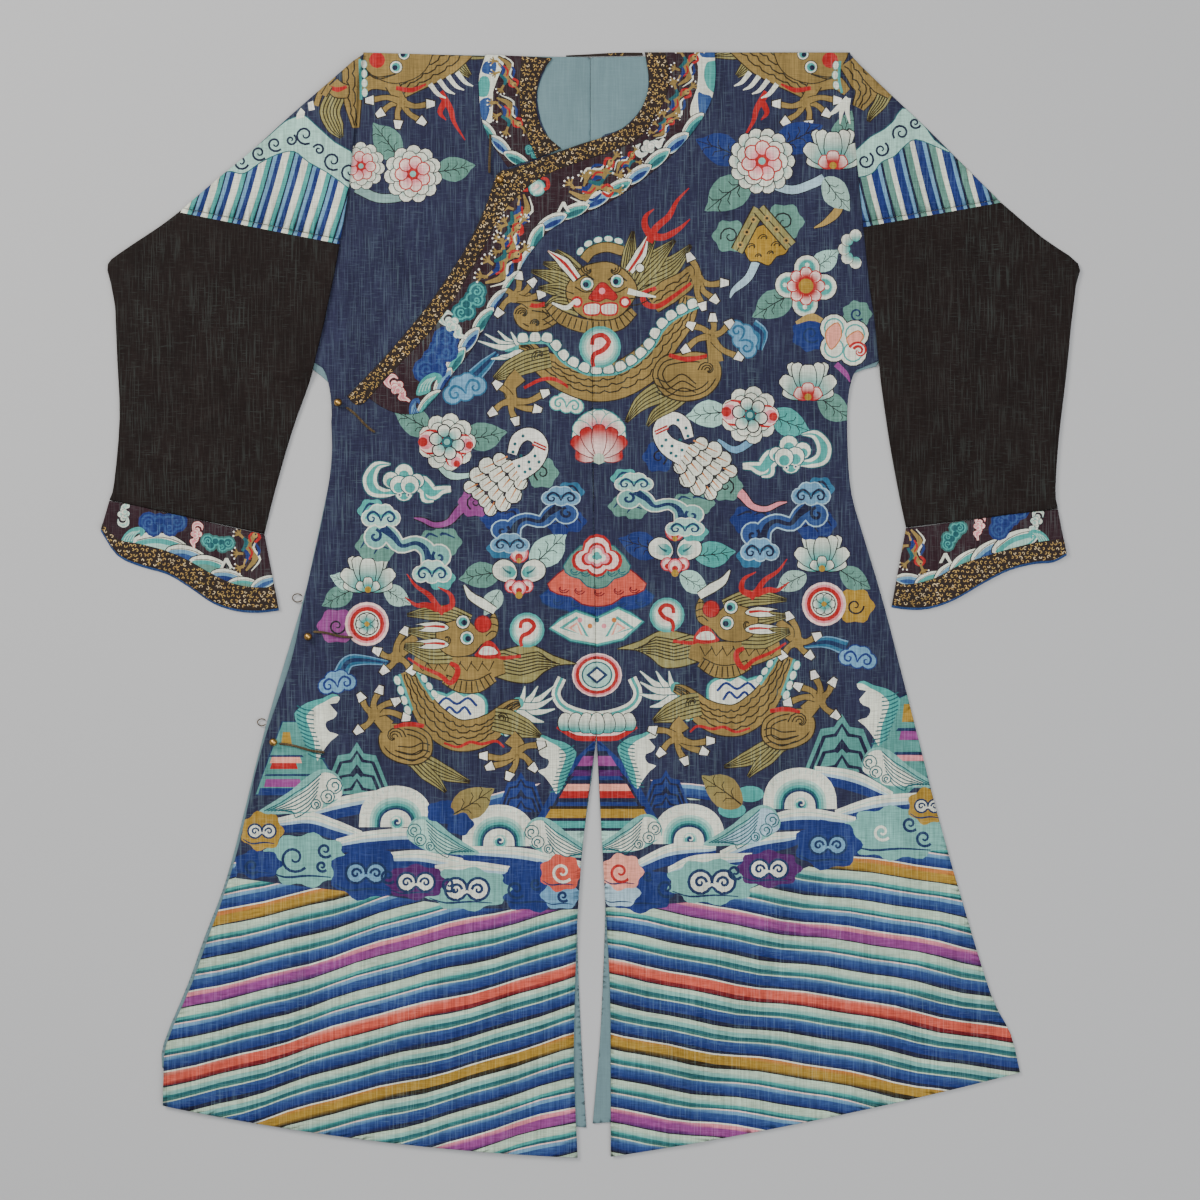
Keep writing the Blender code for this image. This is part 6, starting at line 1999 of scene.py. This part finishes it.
backPieces = dict(
    backLeft=dict(rows=backLeftRows, node="back_left"),
    backRight=dict(rows=backRightRows, node="back_right"),
)
for name, settings in backPieces.items():
    ring = outlineOf(settings["rows"])
    piece = cutCloth(
        name, ring, backPen, "navy",
        lambda x, y: walls["body"] + walls["air"] + np.maximum(creaseHeight("back", x, y), -0.2),
        lambda x, y: np.zeros_like(x),
        (tapestrySilk, giltThread), liningSilk, edge=0.8, underGrid=9.0, faceUp=False,
    )
    declare(settings["node"], ring)


# A sleeve climbs on the body's edge above its foot, its upper wall over a longer run than its under wall
sleeveShape = dict(
    air=0.5, climb=3.8, foot=276, start=5, corner=26, topRise=30, topRun=70, underRise=22, underRun=22,
)


def beyondBody(rows, x, y):
    edgeY = np.array([row["outY"] for row in rows])[::-1]
    edgeX = np.abs([row["outX"] for row in rows])[::-1]
    return np.abs(x) - np.maximum(np.interp(y, edgeY, edgeX),
        np.interp(y + sleeveShape["corner"], edgeY, edgeX))


def sleeveTop(name, rows, x, y):
    s = sleeveShape
    lifted = s["climb"] * ramp((y - s["foot"]) / s["topRise"])
    lifted *= ramp(1 - (beyondBody(rows, x, y) - s["start"]) / s["topRun"])
    settled = walls["sleeve"] + s["air"] + lifted + foldHeight(name, x, y)
    return settled + creaseHeight(name, x, y) + ripple(x, y, len(name))


def sleeveUnder(rows, x, y):
    s = sleeveShape
    near = np.clip(1 - (beyondBody(rows, x, y) - s["start"]) / s["underRun"], 0, 1)
    return s["climb"] * ramp((y - s["foot"]) / s["underRise"]) * near


sleevePieces = dict(
    sleeveUpperRight=dict(rows=upperRightRows, body=frontUnderRows, node="sleeve_upper_right",
        slot="tapestry"),
    sleeveUpperLeft=dict(rows=upperLeftRows, body=frontLeftRows, node="sleeve_upper_left", slot="tapestry"),
    sleeveLowerRight=dict(rows=lowerRightRows, body=frontUnderRows, node="sleeve_lower_right",
        slot="plain_silk"),
    sleeveLowerLeft=dict(rows=lowerLeftRows, body=frontLeftRows, node="sleeve_lower_left",
        slot="plain_silk"),
)
for name, settings in sleevePieces.items():
    ring = outlineOf(settings["rows"])
    isUpper = "Upper" in name
    piece = cutCloth(
        name, ring, sleevePen, "navy" if isUpper else "brown", lambda x, y, name=name,
        rows=settings["body"]: sleeveTop(name, rows, x, y), lambda x, y,
        rows=settings["body"]: sleeveUnder(rows, x, y),
        (tapestrySilk, giltThread) if isUpper else (plainSilk, plainSilk),
        tapestrySilk if isUpper else plainSilk, edge=1.6, underGrid=12.0, extra=creasePoints(name),
        isTube=True, underDye="navy" if isUpper else "brown",
    )
    declare(settings["node"], ring,
        isTube=True)


# Cuffs: flattened tubes whose lining shows past the hem, with a brocade binding on top

cuffs = dict(tube=3.9, lining=3.0, lift=0.2, wall=1.0, step=2.6, stepRun=1.2, ripple=0.4)


def movedOut(row, reach):
    run = np.array([row["outX"] - row["inX"], row["outY"] - row["inY"]], float)
    run *= reach / np.linalg.norm(run)
    return dict(row, outX=row["outX"] + run[0], outY=row["outY"] + run[1])


def trimmed(row):
    return dict(row, inX=row["inX"] + (row["outX"] - row["inX"]) * row["trim"],
        inY=row["inY"] + (row["outY"] - row["inY"]) * row["trim"])


def cuffTop(upperRing, x, y):
    spots = np.stack([x, y], axis=1)
    beyond = np.where(isInside(spots, upperRing), 0, segmentDistance(spots, upperRing))
    return cuffs["tube"] - cuffs["step"] * ramp(beyond
        / cuffs["stepRun"]) + cuffs["ripple"] * ripple(x, y, 6)


for side, rows in (("Right", cuffRightRows), ("Left", cuffLeftRows)):
    upperRing = outlineOf(rows)
    ring = outlineOf([movedOut(row, cuffs["lining"]) for row in rows])
    liningPen = Pen()
    liningPen.shapes = list(trimPen.shapes)
    hem = curve(sidePoints(rows, "out"), 3)
    far = curve(sidePoints([movedOut(row, cuffs["lining"] + 3) for row in rows], "out"), 3)
    liningPen.lay(toPixels(np.concatenate([hem, far[::-1]])), "mid")
    piece = cutCloth("cuff" + side, ring, liningPen, "collarGround", lambda x, y,
        r=upperRing: cuffTop(r, x, y), lambda x, y: 0 * x, (tapestrySilk, giltThread), tapestrySilk,
        edge=1.3, grid=4.0, underGrid=10.0, isTube=True, underDye="collarGround")
    declare("cuff_" + side.lower(), upperRing,
        isTube=True)
    ring = outlineOf([trimmed(row) for row in rows])
    brocadePen = Pen()
    curls(brocadePen, toPixels(ring), 5 + len(side))
    piece = cutCloth("cuffBinding" + side, ring, brocadePen, "brocadeGround", lambda x, y,
        r=upperRing: cuffTop(r, x, y) + cuffs["lift"] + cuffs["wall"], lambda x, y,
        r=upperRing: cuffTop(r, x, y) + cuffs["lift"], (brocadeSilk, giltBrocade), brocadeSilk, edge=0.6,
        grid=4.0, underGrid=8.0, underDye="brocadeGround",
        metal=("brocadeGold", "brocadePale", "goldLight"))
    declare("cuff_binding_" + side.lower(), ring, isStrip=True)

# Collar strips, laid on the fronts and moved out from them

collarStrips = table(
    "name node rows first last panels ground",
    ("collarBandLong", "collar_band_long", collarLongRows, "bound", "outer", ("frontLeft", "frontOverlap"),
        "collarGround"),
    ("collarBandShort", "collar_band_short", collarShortRows, "bound", "outer", ("frontUnder",),
        "collarGround"),
    ("neckBindingLong", "neck_binding_long", collarLongRows, "edge", "bound", ("frontLeft", "frontOverlap"),
        "brocadeGround"),
    ("neckBindingShort", "neck_binding_short", collarShortRows, "edge", "bound", ("frontUnder",),
        "brocadeGround"),
    ("neckBindingBack", "neck_binding_back", collarBackRows, "low", "top", (), "brocadeGround"),
)
for strip in collarStrips:
    ring = outlineOf(strip["rows"], strip["first"], strip["last"])
    isBrocade = strip["ground"] == "brocadeGround"
    stripPen = trimPen
    if isBrocade:
        stripPen = Pen()
        curls(stripPen, toPixels(ring), len(strip["name"]))

    def bandLevel(x, y, panels=strip["panels"]):
        return np.max([frontTop(panel, x, y) for panel in panels],
            axis=0) + walls["trimAir"] if panels else 0 * x

    weave = (brocadeSilk, giltBrocade) if isBrocade else (tapestrySilk, giltThread)
    piece = cutCloth(strip["name"], ring, stripPen, strip["ground"], lambda x,
        y: bandLevel(x, y) + walls["trim"], bandLevel, weave, weave[0], edge=0.6, grid=4.0, underGrid=8.0,
        underDye=strip["ground"],
        metal=("brocadeGold", "brocadePale", "goldLight") if isBrocade else ("gold", "goldLight"))
    declare(strip["node"], ring, isStrip=True)

# Ball buttons, their cord straps and the thread loops at the side

buttons = table(
    "name x y x0 y0 x1 y1",
    ("neck", -114, 540, -126, 598, -127, 548), ("collar", -319, 257, -309, 251, -272, 219),
    ("side_upper", -357, -40, -351, -34, -300, -41), ("side_lower", -401, -174, -394, -176, -336, -187),
)
fastening = dict(ball=10.0, strap=3.4, thread=1.4, petals=9, twist=7.0)


# Rings of points, in mm, joined to a closed shell with a point at each end
def solid(name, rings, material, node):
    rings = np.asarray(rings, float)
    count, sides = rings.shape[:2]
    spots = toMetres(rings[..., 0].ravel(), rings[..., 1].ravel(), rings[..., 2].ravel())
    faces = []
    for i in range(count - 1):
        for j in range(sides):
            k = (j + 1) % sides
            faces.append((i * sides + j, i * sides + k, (i + 1) * sides + k, (i + 1) * sides + j))
    ends = np.array([rings[0].mean(axis=0), rings[-1].mean(axis=0)])
    spots = np.concatenate([spots, toMetres(ends[:, 0], ends[:, 1], ends[:, 2])])
    for j in range(sides):
        k = (j + 1) % sides
        faces.append((len(spots) - 2, k, j))
        faces.append((len(spots) - 1, (count - 1) * sides + j, (count - 1) * sides + k))
    piece = addPiece(name, spots, faces, [material])
    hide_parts(node)


# A cast ball with shallow upright flutes and a raised girdle
def ballRings(x, y, z, radius):
    rings = []
    for up in np.linspace(-88, 88, 19):
        turn = np.arange(36) * math.pi / 18
        flute = 1 - 0.06 * (0.5 - 0.5 * np.cos(turn * fastening["petals"])) * math.cos(math.radians(up))
        flute = np.ones(36) if abs(up) < 6 else flute
        out = radius * math.cos(math.radians(up)) * flute
        rings.append(np.stack([x + out * np.cos(turn), y + out * np.sin(turn),
            z + radius * math.sin(math.radians(up)) + 0 * turn], axis=1))
    return rings


# Cord of twisted strands along a path, with rounded ends
def cordRings(path, diameter, strands=2):
    path = np.asarray(path, float)
    steps = np.linalg.norm(np.diff(path, axis=0), axis=1)
    along = np.concatenate([[0], np.cumsum(steps)])
    places = np.linspace(0, along[-1], max(8, int(along[-1] / 0.9)))
    line = np.stack([np.interp(places, along, path[:, i]) for i in range(3)], axis=1)
    run = np.gradient(line, axis=0)
    run /= np.linalg.norm(run, axis=1)[:, None]
    side = np.cross(run, (0, 0, 1))
    side /= np.linalg.norm(side, axis=1)[:, None]
    up = np.cross(side, run)
    turn = np.arange(12) * math.pi / 6
    rings = []
    for k, place in enumerate(places):
        cap = min(1, math.sqrt(max(0.04, min(place, along[-1] - place) / (diameter / 2))))
        lobes = 1 - 0.16 * (0.5 - 0.5 * np.cos(strands * (turn - place * 6.28 / fastening["twist"])))
        reach = diameter / 2 * cap * lobes
        rings.append(line[k] + side[k] * (reach * np.cos(turn))[:, None] + up[k]
            * (reach * np.sin(turn))[:, None])
    return rings


for button in buttons:
    isNeck = button["name"] == "neck"
    spot = np.array([button["x"]], float), np.array([button["y"]], float)
    rest = max(frontTop(panel, *spot)[0] for panel in ("frontUnder", "frontOverlap")) + (1.5 if isNeck
        else 0.3)
    radius = fastening["ball"] / 2
    solid(button["name"].replace("side_", "side") + "Ball",
        ballRings(button["x"], button["y"], rest + radius, radius), castGilt, "button_" + button["name"])
    share = np.linspace(0, 1, 9)
    x, y = button["x0"] + share * (button["x1"] - button["x0"]), button["y0"] + share * (button["y1"]
        - button["y0"])
    z = frontTop("frontUnder" if isNeck else "frontOverlap", x,
        y) + fastening["strap"] / 2 + (1.4 if isNeck else 0.2)
    bow = np.sin(share * math.pi * 2) * 1.0
    solid(button["name"].replace("side_", "side") + "Strap",
        cordRings(np.stack([x + bow * 0.4, y + bow, z], axis=1), fastening["strap"]), boundCord,
        "strap_" + button["name"])

for name, x, y, reach in (("upper", -364.4, 9, 13), ("lower", -410.8, -149, 11)):
    turn = np.radians(np.linspace(-150, 150, 25))
    path = np.stack([x - reach / 2 * (1 + np.cos(turn)), y + 0.4 * reach * np.sin(turn),
        1 + fastening["thread"] / 2 + 0 * turn], axis=1)
    solid(name + "Loop", cordRings(path, fastening["thread"]), boundCord, "loop_" + name)

# Camera, light and floor

stage = dict(distance=5.2, frame=1.524, floor=14.0)
aim = toMetres(*toPlan([(600, 600)])[0], 0.0)
camera = bpy.data.objects.new("camera", bpy.data.cameras.new("camera"))
camera.location = (aim[0], aim[1], stage["distance"])
camera.data.lens = 36 * (stage["distance"] - 0.004) / stage["frame"]
camera.data.clip_end = 100
bpy.context.scene.collection.objects.link(camera)
bpy.context.scene.camera = camera


def areaLight(name, spot, size, power, colour=(1, 1, 1)):
    light = bpy.data.lights.new(name, "AREA")
    light.size, light.energy, light.color = size, power, colour
    lamp = bpy.data.objects.new(name, light)
    lamp.location = spot
    lamp.rotation_euler = Vector(spot).to_track_quat("Z", "Y").to_euler()
    bpy.context.scene.collection.objects.link(lamp)


areaLight("key", (-2.4, 2.2, 2.6), 1.6, 120, (1.0, 0.97, 0.93))
areaLight("fill", (2.6, -1.4, 3.2), 3.0, 70, (0.94, 0.97, 1.0))
areaLight("overhead", (0.2, 0.3, 4.4), 3.5, 90)

world = bpy.data.worlds.new("softRoom")
world.use_nodes = True
world.node_tree.nodes["Background"].inputs[0].default_value = (0.9, 0.93, 1.0, 1)
world.node_tree.nodes["Background"].inputs[1].default_value = 0.25
bpy.context.scene.world = world

floorMesh = bpy.data.meshes.new("floor")
reach = stage["floor"]
floorMesh.from_pydata([(-reach, -reach, 0), (reach, -reach, 0), (reach, reach, 0), (-reach, reach, 0)], [],
    [(0, 1, 2, 3)])
floor = bpy.data.objects.new("floor", floorMesh)
floor.location.z = -0.0008
bpy.context.scene.collection.objects.link(floor)
floorPaper = newMaterial("matteStudioPaper")
floorShader = addNode(floorPaper, "BsdfPrincipled", {"Base Color": grey(0.55), "Roughness": 0.9})
addNode(floorPaper, "OutputMaterial", {"Surface": floorShader.outputs[0]})
floorMesh.materials.append(floorPaper)
